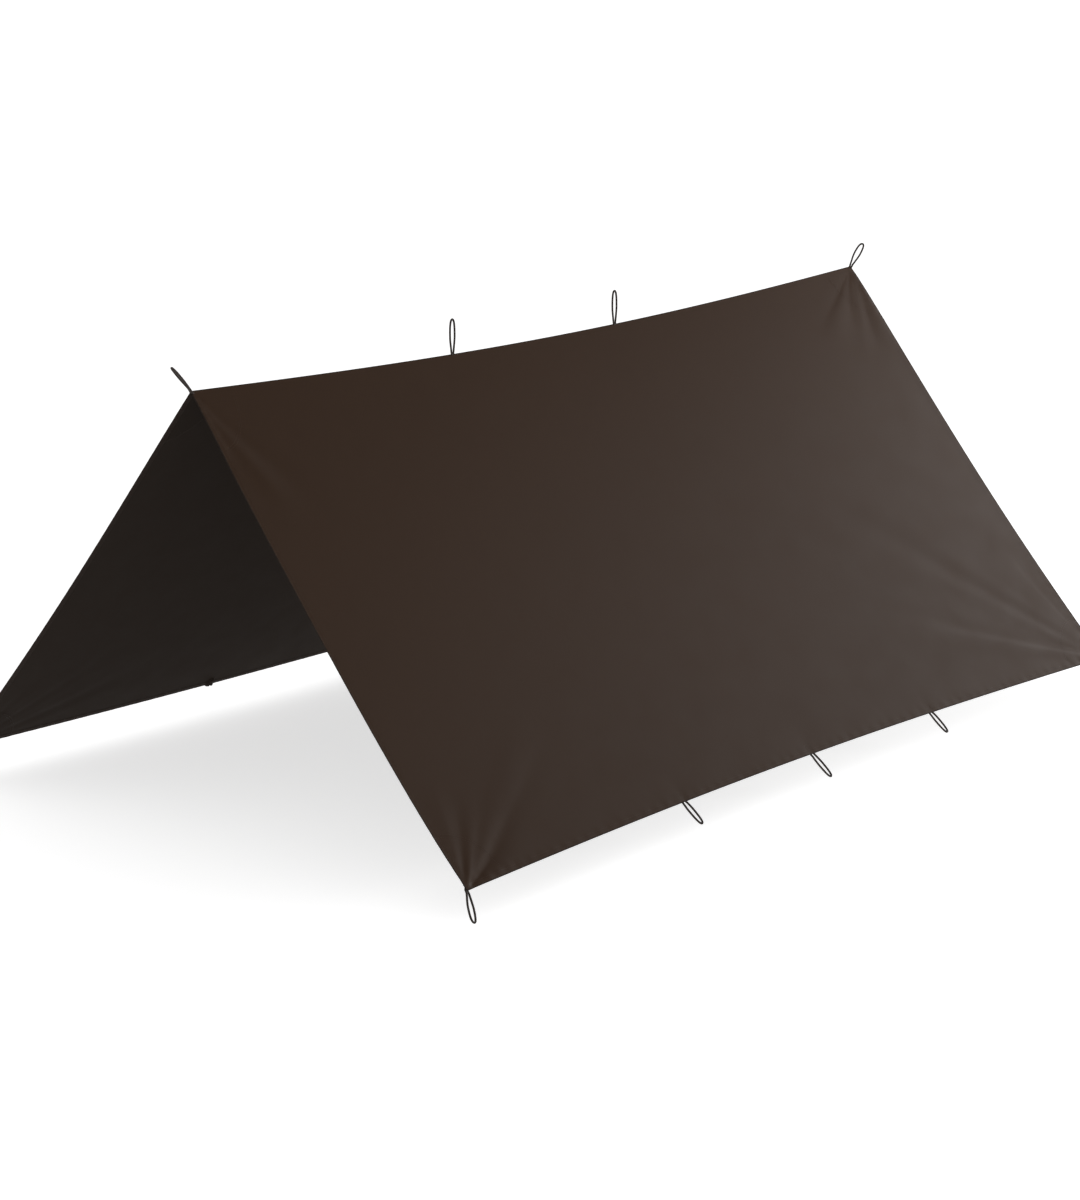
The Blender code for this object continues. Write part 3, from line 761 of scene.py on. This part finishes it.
def cord_mesh(name, path, first_side):
    """A braided cord along a path, closed at both melted ends. Returns it and its ring centres."""
    line = evenly(path, CORD_STEP)
    n = len(line)
    along = np.gradient(line, axis=0)
    along /= np.linalg.norm(along, axis=1, keepdims=True)
    across = np.zeros_like(line)
    a = np.asarray(first_side, float)
    a = unit(a - (a @ along[0]) * along[0])
    across[0] = a
    for k in range(1, n):                      # carried along without twisting
        axis = np.cross(along[k - 1], along[k])
        sin = np.linalg.norm(axis)
        if sin > 1e-9:
            axis /= sin
            cos = float(np.clip(along[k - 1] @ along[k], -1, 1))
            a = a * cos + np.cross(axis, a) * sin + axis * (axis @ a) * (1 - cos)
        a = unit(a - (a @ along[k]) * along[k])
        across[k] = a
    up = np.cross(along, across)
    s = np.arange(n) * float(np.linalg.norm(np.diff(line, axis=0), axis=1).mean())
    turn = np.arange(CORD_SIDES) / CORD_SIDES
    S, T = np.meshgrid(s, turn, indexing="ij")
    one = np.sin(2 * math.pi * (S / 0.0046 + 8 * T))
    two = np.sin(2 * math.pi * (S / 0.0046 - 8 * T))
    relief = 0.00010 * (np.maximum(one, two) - 0.45)
    fray = 0.00004 * np.sin(2 * math.pi * (S / 0.031 + 1.3 * np.sin(2 * math.pi * T)))
    end = np.minimum(S, s[-1] - S)
    radius = (CORD_RADIUS - 0.00003 + relief + fray)
    melted = np.sqrt(np.clip(1 - (1 - np.clip(end / 0.0020, 0, 1)) ** 2, 0.05, 1))
    radius = radius * melted
    ring = np.cos(2 * math.pi * T)[..., None] * across[:, None] + np.sin(2 * math.pi * T)[..., None] * up[:, None]
    points = line[:, None] + radius[..., None] * ring
    verts = np.concatenate([points.reshape(-1, 3), line[:1], line[-1:]])
    i, j = np.meshgrid(np.arange(n - 1), np.arange(CORD_SIDES), indexing="ij")
    b = (j + 1) % CORD_SIDES
    faces = np.stack([i * CORD_SIDES + j, i * CORD_SIDES + b, (i + 1) * CORD_SIDES + b, (i + 1) * CORD_SIDES + j], -1)
    faces = faces.reshape(-1, 4).tolist()
    first, last = n * CORD_SIDES, n * CORD_SIDES + 1
    faces += [[first, (k + 1) % CORD_SIDES, k] for k in range(CORD_SIDES)]
    base = (n - 1) * CORD_SIDES
    faces += [[last, base + k, base + (k + 1) % CORD_SIDES] for k in range(CORD_SIDES)]
    uvs = np.concatenate([np.stack([S, T], -1).reshape(-1, 2), [[0, 0.5], [s[-1], 0.5]]])
    obj = mesh_object(name, verts, faces, uvs, True, [CORD])
    # the seam of the wrap: the last column of faces reads 1 and not 0
    layer = obj.data.uv_layers["metres"].data
    for polygon in obj.data.polygons:
        if polygon.index < (n - 1) * CORD_SIDES and polygon.index % CORD_SIDES == CORD_SIDES - 1:
            for loop in polygon.loop_indices:
                if layer[loop].uv[1] < 0.01:
                    layer[loop].uv[1] = 1.0
    outward_fixed(obj)
    return obj, line


def tail(side, ts, vs, depths):
    """Centre line of a sewn-in cord end on the inside of a slope, from its cut end outwards."""
    return cloth(side, np.asarray(ts, float), np.asarray(vs, float), np.asarray(depths, float))


def finish_loop(name, tails, outside, first_side, exit_point):
    """Joins tail, loop and tail and makes the cord."""
    path = softened(np.concatenate([tails[0], outside, tails[1][::-1]]))
    obj, line = cord_mesh(name + "_cord", path, first_side)
    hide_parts(name)
    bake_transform(obj)
    length = float(np.linalg.norm(np.diff(line, axis=0), axis=1).sum())
    [float(x) for x in exit_point]
    return obj


# depth of the cord's centre under the outer face, along an eave loop's sewn-in end
EAVE_TAIL = [(0.029, 0.00370), (0.024, 0.00385), (0.020, 0.00420), (0.016, 0.00452),
             (0.008, 0.00458), (0.002, 0.00462), (0.000, 0.00465)]


def eave_tail_depth(inside):
    return np.interp(inside, [k[0] for k in EAVE_TAIL][::-1], [k[1] for k in EAVE_TAIL][::-1])


def eave_leg(inside):
    """Half width between the two sewn-in ends, that far inside the edge."""
    u = np.linspace(0, 0.5, 300)
    s, w = leg(u)
    return np.interp(EAVE_TUCK - np.asarray(inside, float), s, w)


for side in (-1, 1):
    for number, t in enumerate(EAVE_LOOPS, 1):
        name = PREFIX[side] + f"_loop_{number}"
        edge = (smooth_cloth(side, t, 1.0) - 0.0046 * smooth_normal(side, t, 1.0))
        down = unit(smooth_cloth(side, t, 1.0) - smooth_cloth(side, t, 0.98))
        hang = unit(down + np.array([0.17, 0.0, 0.0]))
        if side > 0:
            turned = np.array(Matrix.Rotation(REAR_LIE, 3, "X") @ Vector(hang))
        else:
            turned = hang
        inside = np.linspace(0.028, 0.0006, 24)
        wide = eave_leg(inside)
        shift = -0.17 * inside                       # the ends lie in line with the hanging loop
        tails = [tail(side, t + (shift - wide) / RIDGE_LENGTH, 1 - inside / SLOPE_LENGTH, eave_tail_depth(inside)),
                 tail(side, t + (shift + wide) / RIDGE_LENGTH, 1 - inside / SLOPE_LENGTH, eave_tail_depth(inside))]
        slack = FRONT_SLACK[number - 1] if side < 0 else 0.0
        out = loop_points(edge + LOOP_CLEAR * hang, EAVE_TUCK + LOOP_CLEAR - slack, turned, (1, 0, 0),
                          EAVE_TUCK - slack + (0.0045 if side < 0 else 0.0075))
        turn_at = edge + LOOP_CLEAR * hang
        finish_loop(name, tails, out,
                    smooth_normal(side, t, 1.0), edge)
    for label, end in (("near", 0.0), ("far", 1.0)):
        name = PREFIX[side] + "_loop_" + label
        away = 1.0 if end == 0.0 else -1.0
        corner = smooth_cloth(side, end, 1.0) - 0.0012 * smooth_normal(side, end, 1.0)
        towards = unit((-0.536 * away, 0.687 * side, -0.491))
        spread = np.array((0.82 * away, 0.28 * side, -0.48))
        turn_at = corner + LOOP_CLEAR * towards
        k = np.linspace(0.0270, 0.0015, 24)          # along the diagonal
        depth = np.interp(k, [0.0, 0.004, 0.012, 0.023, 0.029, 0.031],
                          [0.0047, 0.0056, 0.0057, 0.0055, 0.0050, 0.0047])
        tails = []
        for which in (-1, 1):
            # one end on each side of the diagonal
            a, b = (k + which * away * 0.0032) / math.sqrt(2), (k - which * away * 0.0032) / math.sqrt(2)
            tails.append(tail(side, end + away * a / RIDGE_LENGTH, 1 - b / SLOPE_LENGTH, depth))
        out = loop_points(turn_at, LOOP_CLEAR, towards, spread, 0.0070)
        # start from the end that lies nearer to the loop's first leg
        if np.linalg.norm(tails[0][-1] - out[0]) > np.linalg.norm(tails[1][-1] - out[0]):
            tails = tails[::-1]
        finish_loop(name, tails, out,
                    smooth_normal(side, end, 1.0), corner)

for label, t in zip(("1", "2"), RIDGE_LOOPS):
    name = "ridge_loop_" + label
    base = ridge_line(t)
    top = np.array([0.0, 0.0, 1.0])
    outside = loop_points(base + LOOP_CLEAR * top, RIDGE_TUCK, top, (1, 0, 0), RIDGE_TUCK - LOOP_CLEAR)
    half = LOOP_NECK
    ins = np.linspace(0.0062, 0.0004, 8)
    tails = [base + np.stack([np.full(8, which * half), np.zeros(8), -ins], 1) for which in (-1, 1)]
    finish_loop(name, tails, outside, (0, 1, 0), base)

for label, end, towards, spread in (("near", 0.0, (-0.723, -0.131, 0.678), (0.04, 0.972, 0.232)),
                                    ("far", 1.0, (0.799, 0.148, 0.583), (-0.30, 0.93, 0.20))):
    name = "ridge_loop_" + label
    towards = unit(towards)
    base = ridge_line(end)
    turn_at = base + LOOP_CLEAR * towards
    outside = loop_points(turn_at, LOOP_CLEAR, towards, spread, 0.0075)
    ins = np.linspace(0.027, 0.0030, 20)
    inwards = 1.0 if end == 0.0 else -1.0
    drop = np.interp(ins, [0.003, 0.012, 0.030], [0.0064, 0.0102, 0.0106])
    middle = ridge_line(end + inwards * ins / RIDGE_LENGTH) - np.stack([0 * ins, 0 * ins, drop], 1)
    tails = [middle + np.array([0, which * 0.0032, 0]) for which in (-1, 1)]
    if np.linalg.norm(tails[0][-1] - outside[0]) > np.linalg.norm(tails[1][-1] - outside[0]):
        tails = tails[::-1]
    finish_loop(name, tails, outside,
                (0, 0, 1), base)


# ------------------------------------------------------------- tabs over cords
TAB_CLOTH = 0.0006


def tab_surface(t0, x, inside):
    """Depth of the inner face of an eave tab: x along the eave from its middle, inside from the edge."""
    base = stacked(t0 + x / RIDGE_LENGTH, 1 - inside / SLOPE_LENGTH) + TAB_CLOTH + 0.00003
    wide = eave_leg(inside)
    middle = x + 0.17 * inside
    top = eave_tail_depth(inside) + CORD_RADIUS + TAB_CLOTH + 0.00015
    fade = smoothstep((0.0338 - inside) / 0.0040) * smoothstep((0.0110 - np.abs(middle)) / 0.0022)
    squeeze = 1 - 0.04 * np.exp(-((inside - 0.024) / 0.0022) ** 2)
    one = np.exp(-((middle - wide) / 0.0043) ** 4)
    two = np.exp(-((middle + wide) / 0.0043) ** 4)
    between = np.exp(-(middle / np.maximum(wide, 0.003)) ** 4) * 0.62
    bump = np.maximum((one**3 + two**3) ** (1 / 3), between)
    return base + np.maximum(top - base, 0) * np.clip(bump, 0, 1) * fade * squeeze


def eave_tab(name, side, t0):
    x = np.linspace(-0.011, 0.011, 34)
    y = np.linspace(0.002, 0.035, 40)
    X, Y = np.meshgrid(x, y, indexing="ij")
    edge = np.minimum(0.011 - np.abs(X), np.minimum(Y - 0.002, 0.035 - Y))
    X = X - 0.17 * Y                             # the tab lies in line with the hanging loop
    inner = tab_surface(t0, X, Y)
    thick = TAB_CLOTH * (1 + 0.5 * np.exp(-(edge / 0.0022) ** 2))   # turned-under rim
    obj = slab(name, side, t0 + X / RIDGE_LENGTH, 1 - Y / SLOPE_LENGTH, inner - TAB_CLOTH,
               inner - TAB_CLOTH + thick, [PATCHED], 0.00018)
    n = X.size
    rim = np.zeros(len(obj.data.vertices))
    rim[n:2 * n] = (np.exp(-(edge / 0.0012) ** 2) * 0.7).reshape(-1)
    rim[2 * n:] = 0.6
    store(obj, "rim", rim)
    return obj


def satin_bar(name, place, length=0.016, width=0.003, rise=0.0008):
    """A bar tack: dense stitches across a bar. place(along, across, rise) gives a point."""
    a = np.linspace(-0.5, 0.5, 113) * length
    b = np.linspace(-0.5, 0.5, 13) * width
    A, B = np.meshgrid(a, b, indexing="ij")
    over = np.sqrt(np.clip(1 - (2 * B / width) ** 2, 0, 1))
    ends_ = np.sqrt(np.clip(1 - np.clip((np.abs(A) - length / 2 + 0.0009) / 0.0009, 0, 1) ** 2, 0, 1))
    strand = 0.5 + 0.5 * np.sin(2 * math.pi * (A / 0.00052 + 0.35 * B / width))
    uneven = 0.5 + 0.5 * np.sin(A * 2900 + 1.3 * np.sin(A * 1250))
    high = rise * (0.30 + 0.70 * over) * (0.80 + 0.20 * strand) * (0.93 + 0.07 * uneven) * (0.35 + 0.65 * ends_)
    upper = place(A, B * (0.97 + 0.06 * uneven), high)
    lower = place(A, B * 0.96, np.full(A.shape, -0.00012))
    rows, cols = A.shape
    ring = border(rows, cols)
    n = A.size
    points = np.concatenate([upper.reshape(-1, 3), lower.reshape(-1, 3)])
    faces = np.concatenate([grid_faces(rows, cols), grid_faces(rows, cols, True, n), rim_faces(ring, ring + n)])
    uv = np.stack([A, B], -1).reshape(-1, 2)
    obj = mesh_object(name, points, faces, np.concatenate([uv, uv]), True, [THREAD])
    outward_fixed(obj)
    return obj


for side in (-1, 1):
    for number, t0 in enumerate(EAVE_LOOPS, 1):
        made = eave_tab(PREFIX[side] + f"_tab_{number}_fabric", side, t0)
        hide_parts(PREFIX[side] + f"_tab_{number}")
        soft_with[side].append(made)

        def on_tab(a, b, rise, side=side, t0=t0):
            inside = 0.024 + b
            a = a - 0.17 * inside
            return cloth(side, t0 + a / RIDGE_LENGTH, 1 - inside / SLOPE_LENGTH, tab_surface(t0, a, inside) + rise)

        made = satin_bar(PREFIX[side] + f"_tack_{number}_satin", on_tab)
        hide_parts(PREFIX[side] + f"_tack_{number}")
        soft_with[side].append(made)
    for label, end in (("near", 0.0), ("far", 1.0)):
        away = 1.0 if end == 0.0 else -1.0

        def on_corner(a, b, rise, side=side, end=end, away=away):
            # a runs across the diagonal, b along it, and the bar arches over the two cords
            k = 0.0155 * math.sqrt(2) + b
            x, y = (k + a) / math.sqrt(2), (k - a) / math.sqrt(2)
            t, v = end + away * x / RIDGE_LENGTH, 1 - y / SLOPE_LENGTH
            base = stacked(t, v)
            cords = 0.0055 + CORD_RADIUS + 0.0001
            arch = (np.exp(-((a - 0.0032) / 0.0037) ** 4) + np.exp(-((a + 0.0032) / 0.0037) ** 4))
            depth = base + (cords - base) * np.clip(arch, 0, 1)
            return cloth(side, t, v, depth + rise)

        made = satin_bar(PREFIX[side] + f"_tack_{label}_satin", on_corner)
        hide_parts(PREFIX[side] + f"_tack_{label}")
        soft_with[side].append(made)


# ----------------------------------------------------------------- ridge seam
FELL = 0.00045


def ridge_strip(name, side, length, t_from, t_to, top, bottom, materials, step=0.008, across=7):
    ts = np.linspace(t_from, t_to, max(3, int((t_to - t_from) * RIDGE_LENGTH / step) + 1))
    vs = np.linspace(0.0, length, across) / SLOPE_LENGTH
    t, v = np.meshgrid(ts, vs, indexing="ij")
    return slab(name, side, t, v, top, bottom, materials, 0.00012)


fell = ridge_strip("ridge_fell_fabric", 1, 0.014, 0.0002, 0.9998, -FELL, -0.00002, [HEMMED], 0.008, 9)
rim = np.zeros(len(fell.data.vertices))
rim[len(rim) - 1] = 0.0
down = np.array([max(0.0, p.co.y) for p in fell.data.vertices]) / math.cos(PITCH)
store(fell, "rim", np.exp(-((down - 0.014) / 0.0012) ** 2) * 0.6 + np.exp(-(down / 0.0012) ** 2) * 0.5)
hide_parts("ridge_fell")
soft_with[1].append(fell)

for side in (-1, 1):
    tape = ridge_strip(PREFIX[side] + "_ridge_tape_film", side, 0.012, 0.0004, 0.9996,
                       CLOTH + 0.00002, CLOTH + 0.00017, [TAPE])
    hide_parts("ridge_tape")
    soft_with[side].append(tape)

RIDGE_TABS = {"near": (0.0010, 0.0150), "1": (RIDGE_LOOPS[0] - 0.0065, RIDGE_LOOPS[0] + 0.0065),
              "2": (RIDGE_LOOPS[1] - 0.0065, RIDGE_LOOPS[1] + 0.0065), "far": (0.9850, 0.9990)}


def ridge_tab_depth(label, t, share):
    """(metres down the slope, depth) of a ridge tab's inner face; share runs from the apex to its lower edge."""
    t0, t1 = RIDGE_TABS[label]
    if label in ("1", "2"):
        x = (t - (t0 + t1) / 2) * RIDGE_LENGTH
        filled = np.exp(-(x / 0.0085) ** 4)
    else:
        inside = (t - t0) * RIDGE_LENGTH if label == "near" else (t1 - t) * RIDGE_LENGTH
        filled = smoothstep((0.036 - inside) / 0.010)
    x_edge = np.minimum(t - t0, t1 - t) * RIDGE_LENGTH
    apex = 0.0016 + 0.0080 * filled * smoothstep((x_edge + 0.004) / 0.006)
    flat = stacked(t, 0.013 / SLOPE_LENGTH) + TAB_CLOTH + 0.00020
    start = apex * math.tan(PITCH)
    down = start + (0.013 - start) * share
    return down, flat + (apex - flat) * (1 - smoothstep(share * 1.05))


for label, (t0, t1) in RIDGE_TABS.items():
    for side in (-1, 1):
        ts = np.linspace(t0, t1, 44)
        share = np.linspace(0, 1, 16)
        T_, S_ = np.meshgrid(ts, share, indexing="ij")
        down, inner = ridge_tab_depth(label, T_, S_)
        edge = np.minimum(np.minimum(T_ - t0, t1 - T_) * RIDGE_LENGTH, (1 - S_) * 0.013)
        thick = TAB_CLOTH * (1 + 0.4 * np.exp(-(edge / 0.0022) ** 2))
        made = slab(PREFIX[side] + f"_ridge_tab_{label}_fabric", side, T_, down / SLOPE_LENGTH,
                    inner - TAB_CLOTH, inner - TAB_CLOTH + thick, [PATCHED], 0.00012)
        rim = np.zeros(len(made.data.vertices))
        rim[T_.size:2 * T_.size] = (np.exp(-(edge / 0.0012) ** 2) * 0.6).reshape(-1)
        store(made, "rim", rim)
        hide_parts(f"ridge_tab_{label}")
        soft_with[side].append(made)

    tm = (t0 + t1) / 2

    def on_ridge(a, b, rise, label=label, tm=tm):
        t = tm + a / RIDGE_LENGTH
        share = np.clip(0.42 + b / 0.011, 0, 1)
        down, depth = ridge_tab_depth(label, t, share)
        return cloth(1, t, down / SLOPE_LENGTH, depth + rise)

    made = satin_bar(f"ridge_tack_{label}_satin", on_ridge, width=0.0028)
    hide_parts(f"ridge_tack_{label}")
    soft_with[1].append(made)


# ------------------------------------------------------------------ stitching
STITCH, PITCH_OF_STITCHES = 0.0031, 0.0042
stitch_parts = {-1: [], 1: []}


def stitches(side, t, v, depth, outside):
    """A row of stitches along a line of (t, v), lying on that depth."""
    t, v = np.asarray(t, float), np.asarray(v, float)
    points = cloth(side, t, v, depth)
    gap = np.linalg.norm(np.diff(points, axis=0), axis=1)
    at = np.concatenate([[0], np.cumsum(gap)])
    count = int(at[-1] / PITCH_OF_STITCHES)
    if count < 1:
        return
    mid = (np.arange(count) + 0.5) * at[-1] / count
    mid = mid + 0.00012 * np.sin(mid * 2300)
    place = np.stack([np.interp(mid, at, points[:, k]) for k in range(3)], 1)
    ahead = np.stack([np.interp(np.minimum(mid + 0.0012, at[-1]), at, points[:, k]) for k in range(3)], 1)
    behind = np.stack([np.interp(np.maximum(mid - 0.0012, 0), at, points[:, k]) for k in range(3)], 1)
    along = ahead - behind
    along /= np.linalg.norm(along, axis=1, keepdims=True)
    normal = smooth_normal(side, np.interp(mid, at, t), np.interp(mid, at, v)) * (1 if outside else -1)
    across = np.cross(along, normal)
    across /= np.linalg.norm(across, axis=1, keepdims=True)
    normal = np.cross(across, along)
    along = along * math.cos(0.10) + across * math.sin(0.10)      # a lockstitch lies a little slanted
    sections = [(-0.5, 0.10, -0.00004), (-0.36, 0.85, 0.00011), (0.0, 1.0, 0.00017), (0.36, 0.85, 0.00011),
                (0.5, 0.10, -0.00004)]
    ringed = []
    for s, size, lift in sections:
        for k in range(6):
            a = 2 * math.pi * k / 6
            ringed.append(place + along * (s * STITCH) + normal * (lift + 0.00016 * size * math.sin(a))
                          + across * (0.00024 * size * math.cos(a)))
    verts = np.stack(ringed, 1)                                   # stitch, 30 points
    local = []
    for r in range(4):
        for k in range(6):
            a, b = r * 6 + k, r * 6 + (k + 1) % 6
            local.append([a, b, b + 6, a + 6])
    caps = [[5, 4, 3, 2, 1, 0], [24, 25, 26, 27, 28, 29]]
    stitch_parts[side].append((verts, local, caps, np.stack([mid, 0 * mid], 1), outside))


OUT = -0.00004
for side in (-1, 1):
    edge_t = np.linspace(0.0035 / RIDGE_LENGTH, 1 - 0.0035 / RIDGE_LENGTH, 900)
    for inn in (0.0030, 0.0154):
        v = np.full(900, 1 - inn / SLOPE_LENGTH)
        off = np.minimum(edge_t, 1 - edge_t) * RIDGE_LENGTH
        over = HEM * smoothstep((HEM_WIDTH + 0.004 - off) / 0.004)
        stitches(side, edge_t, v, OUT, True)
        stitches(side, edge_t, v, stacked(edge_t, v, hem=False) + over + 0.00086, False)
        for end in (0.0, 1.0):
            inw = 1.0 if end == 0.0 else -1.0
            run = np.linspace(0.020 / SLOPE_LENGTH, 1 - 0.019 / SLOPE_LENGTH, 500)
            t = np.full(500, end + inw * inn / RIDGE_LENGTH)
            stitches(side, t, run, OUT, True)
            stitches(side, t, run, stacked(t, run, hem=False) + 0.00086, False)
    for end in (0.0, 1.0):
        inw = 1.0 if end == 0.0 else -1.0
        for share in (0.975, 0.935):
            turn = np.radians(np.linspace(7.5, 82.5, 160))
            dx, dy = share * CORNER_REACH[0] * np.cos(turn), share * CORNER_REACH[1] * np.sin(turn)
            t, v = end + inw * dx / RIDGE_LENGTH, 1 - dy / SLOPE_LENGTH
            stitches(side, t, v, OUT, True)
            stitches(side, t, v, np.full(160, CLOTH + PATCH + 0.00002), False)
            turn = np.radians(np.linspace(6.5, 81.5, 160))
            dx, dy = share * PEAK_REACH[0] * np.cos(turn), share * PEAK_REACH[1] * np.sin(turn)
            t, v = end + inw * dx / RIDGE_LENGTH, dy / SLOPE_LENGTH
            stitches(side, t, v, OUT, True)
            stitches(side, t, v, np.full(160, CLOTH + PATCH + 0.00002), False)
    for t0 in EAVE_LOOPS:
        path = np.array([(-0.0094, 0.0040), (-0.0094, 0.0334), (0.0094, 0.0334), (0.0094, 0.0040)])
        for a, b in zip(path[:-1], path[1:]):
            k = np.linspace(0, 1, 40)[:, None]
            line = a + (b - a) * k
            line[:, 0] -= 0.17 * line[:, 1]
            t, v = t0 + line[:, 0] / RIDGE_LENGTH, 1 - line[:, 1] / SLOPE_LENGTH
            stitches(side, t, v, tab_surface(t0, line[:, 0], line[:, 1]) + 0.00010, False)
            stitches(side, t, v, OUT, True)
        bar = np.linspace(-0.007, 0.007, 30)
for inn in (0.0035, 0.0125):
    t = np.linspace(0.0012, 0.9988, 900)
    stitches(1, t, np.full(900, inn / SLOPE_LENGTH), -FELL - 0.00004, True)
for side, inn in ((-1, 0.0028),):
    t = np.linspace(0.0012, 0.9988, 900)
    stitches(side, t, np.full(900, inn / SLOPE_LENGTH), OUT, True)

for side in (-1, 1):
    verts, faces, uvs, kinds, base = [], [], [], [], 0
    for block, local, caps, at, outside in stitch_parts[side]:
        count = len(block)
        kinds += [1 if outside else 0] * (count * (len(local) + len(caps)))
        starts = base + 30 * np.arange(count)
        for f in local:
            faces.append(starts[:, None] + np.array(f)[None])
        for f in caps:
            faces.append((starts[:, None] + np.array(f)[None]).tolist())
        verts.append(block.reshape(-1, 3))
        lengthways = np.tile(np.repeat([-0.5, -0.36, 0.0, 0.36, 0.5], 6) * STITCH, (count, 1)) + at[:, :1]
        around = np.tile(np.tile(np.arange(6) / 6 * 0.0012, 5), (count, 1))
        uvs.append(np.stack([lengthways, around], -1).reshape(-1, 2))
        base += 30 * count
    flat = [f for group in faces for f in (group.tolist() if isinstance(group, np.ndarray) else group)]
    # stitches on the outer face take the second material, the lighter thread with its painted sheen
    obj = mesh_object(PREFIX[side] + "_stitching", np.concatenate(verts), flat, np.concatenate(uvs), True,
                      [THREAD, OUTER_THREAD_PAINTED_SHEEN], kinds)
    outward_fixed(obj)
    soft_with[side].append(obj)

# --------------------------------------------------------------- what goes with what
for side in (-1, 1):
    for obj in [sheets[side]] + soft_with[side]:
        lows = [abs(p.co.y) for p in obj.data.vertices]
        if min(lows) < BEND:
            bend_with(obj)
        else:
            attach(obj, SLOPES[side])
for side in (-1, 1):
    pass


# ----------------------------------------------------------------------- floor
FLOOR_Z = -1.280


def floor_material():
    made = bpy.data.materials.new("pale_floor")
    made.use_nodes = True
    tree = made.node_tree
    tree.nodes.clear()
    out = tree.nodes.new("ShaderNodeOutputMaterial")
    both = tree.nodes.new("ShaderNodeAddShader")
    diffuse = tree.nodes.new("ShaderNodeBsdfDiffuse")
    glow = tree.nodes.new("ShaderNodeEmission")
    diffuse.inputs["Color"].default_value = (FLOOR_DIFFUSE,) * 3 + (1.0,)
    glow.inputs["Color"].default_value = (1.0, 1.0, 1.0, 1.0)
    glow.inputs["Strength"].default_value = FLOOR_GLOW
    tree.links.new(diffuse.outputs[0], both.inputs[0])
    tree.links.new(glow.outputs[0], both.inputs[1])
    tree.links.new(both.outputs[0], out.inputs["Surface"])
    return made


FLOOR_GLOW, FLOOR_DIFFUSE = 0.655, 0.80
R = 80.0
floor = mesh_object("pale_floor", [(-R, -R, FLOOR_Z), (R, -R, FLOOR_Z), (R, R, FLOOR_Z), (-R, R, FLOOR_Z)],
                    [(0, 1, 2, 3)], smooth=False, materials=[floor_material()])

# ---------------------------------------------------------------------- lights
world = bpy.data.worlds.new("soft_white")
bpy.context.scene.world = world
world.use_nodes = True
sky = world.node_tree.nodes["Background"]
# white along the horizon, a little dimmer overhead
direction = world.node_tree.nodes.new("ShaderNodeTexCoord")
height = world.node_tree.nodes.new("ShaderNodeSeparateXYZ")
world.node_tree.links.new(direction.outputs["Generated"], height.inputs[0])
dimming = world.node_tree.nodes.new("ShaderNodeMapRange")
dimming.interpolation_type = "SMOOTHSTEP"
dimming.inputs["From Min"].default_value = 0.15
dimming.inputs["From Max"].default_value = 0.28
dimming.inputs["To Min"].default_value = 1.0
dimming.inputs["To Max"].default_value = 0.57
world.node_tree.links.new(height.outputs[2], dimming.inputs["Value"])
world.node_tree.links.new(dimming.outputs["Result"], sky.inputs["Color"])
sky.inputs["Strength"].default_value = 1.0


def softbox(name, where, towards, size, power, colour=(1.0, 1.0, 1.0), spread=180.0):
    data = bpy.data.lights.new(name, "AREA")
    data.shape = "RECTANGLE"
    data.size, data.size_y = size
    data.energy = power
    data.color = colour
    data.spread = math.radians(spread)
    light = bpy.data.objects.new(name, data)
    bpy.context.scene.collection.objects.link(light)
    light.location = where
    light.rotation_euler = (Vector(towards) - Vector(where)).to_track_quat("-Z", "Y").to_euler()
    light.visible_camera = False
    return light


def floor_gets(light, lit):
    """Whether the floor is all that the light falls on, or what it leaves out."""
    receivers = bpy.data.collections.new(light.name + "_receivers")
    receivers.objects.link(floor)
    light.light_linking.receiver_collection = receivers
    receivers.collection_objects[0].light_linking.link_state = "INCLUDE" if lit else "EXCLUDE"


floor_gets(softbox("right_side", (5.0, -1.0, 0.4), (0.8, -0.5, -0.7), (2.0, 2.0), 215.0), False)
# a low light in front softens the shadow under the front eave
floor_gets(softbox("low_front", (3.5, -4.5, -0.5), (0.6, -0.9, -1.28), (2.0, 1.0), 290.0), True)

# ---------------------------------------------------------------------- camera
cam_data = bpy.data.cameras.new("camera")
cam_data.sensor_fit = "AUTO"
cam_data.sensor_width = 36.0
cam_data.lens = 3413.954 * 36.0 / 1200.0
cam_data.clip_start, cam_data.clip_end = 0.05, 400.0
camera = bpy.data.objects.new("camera", cam_data)
bpy.context.scene.collection.objects.link(camera)
pitch, yaw, roll = 0.24216, 0.85676, -0.00257
ahead = Vector((math.sin(yaw) * math.cos(pitch), math.cos(yaw) * math.cos(pitch), -math.sin(pitch)))
level = Vector((math.cos(yaw), -math.sin(yaw), 0.0))
above = level.cross(ahead)
right_of = math.cos(roll) * level + math.sin(roll) * above
above = -math.sin(roll) * level + math.cos(roll) * above
turned = Matrix((right_of, above, -ahead)).transposed().to_4x4()
camera.matrix_world = Matrix.Translation((-7.68542, -6.59282, 1.64331)) @ turned
bpy.context.scene.camera = camera

bpy.context.scene.view_settings.view_transform = "Standard"
bpy.context.scene.view_settings.look = "None"
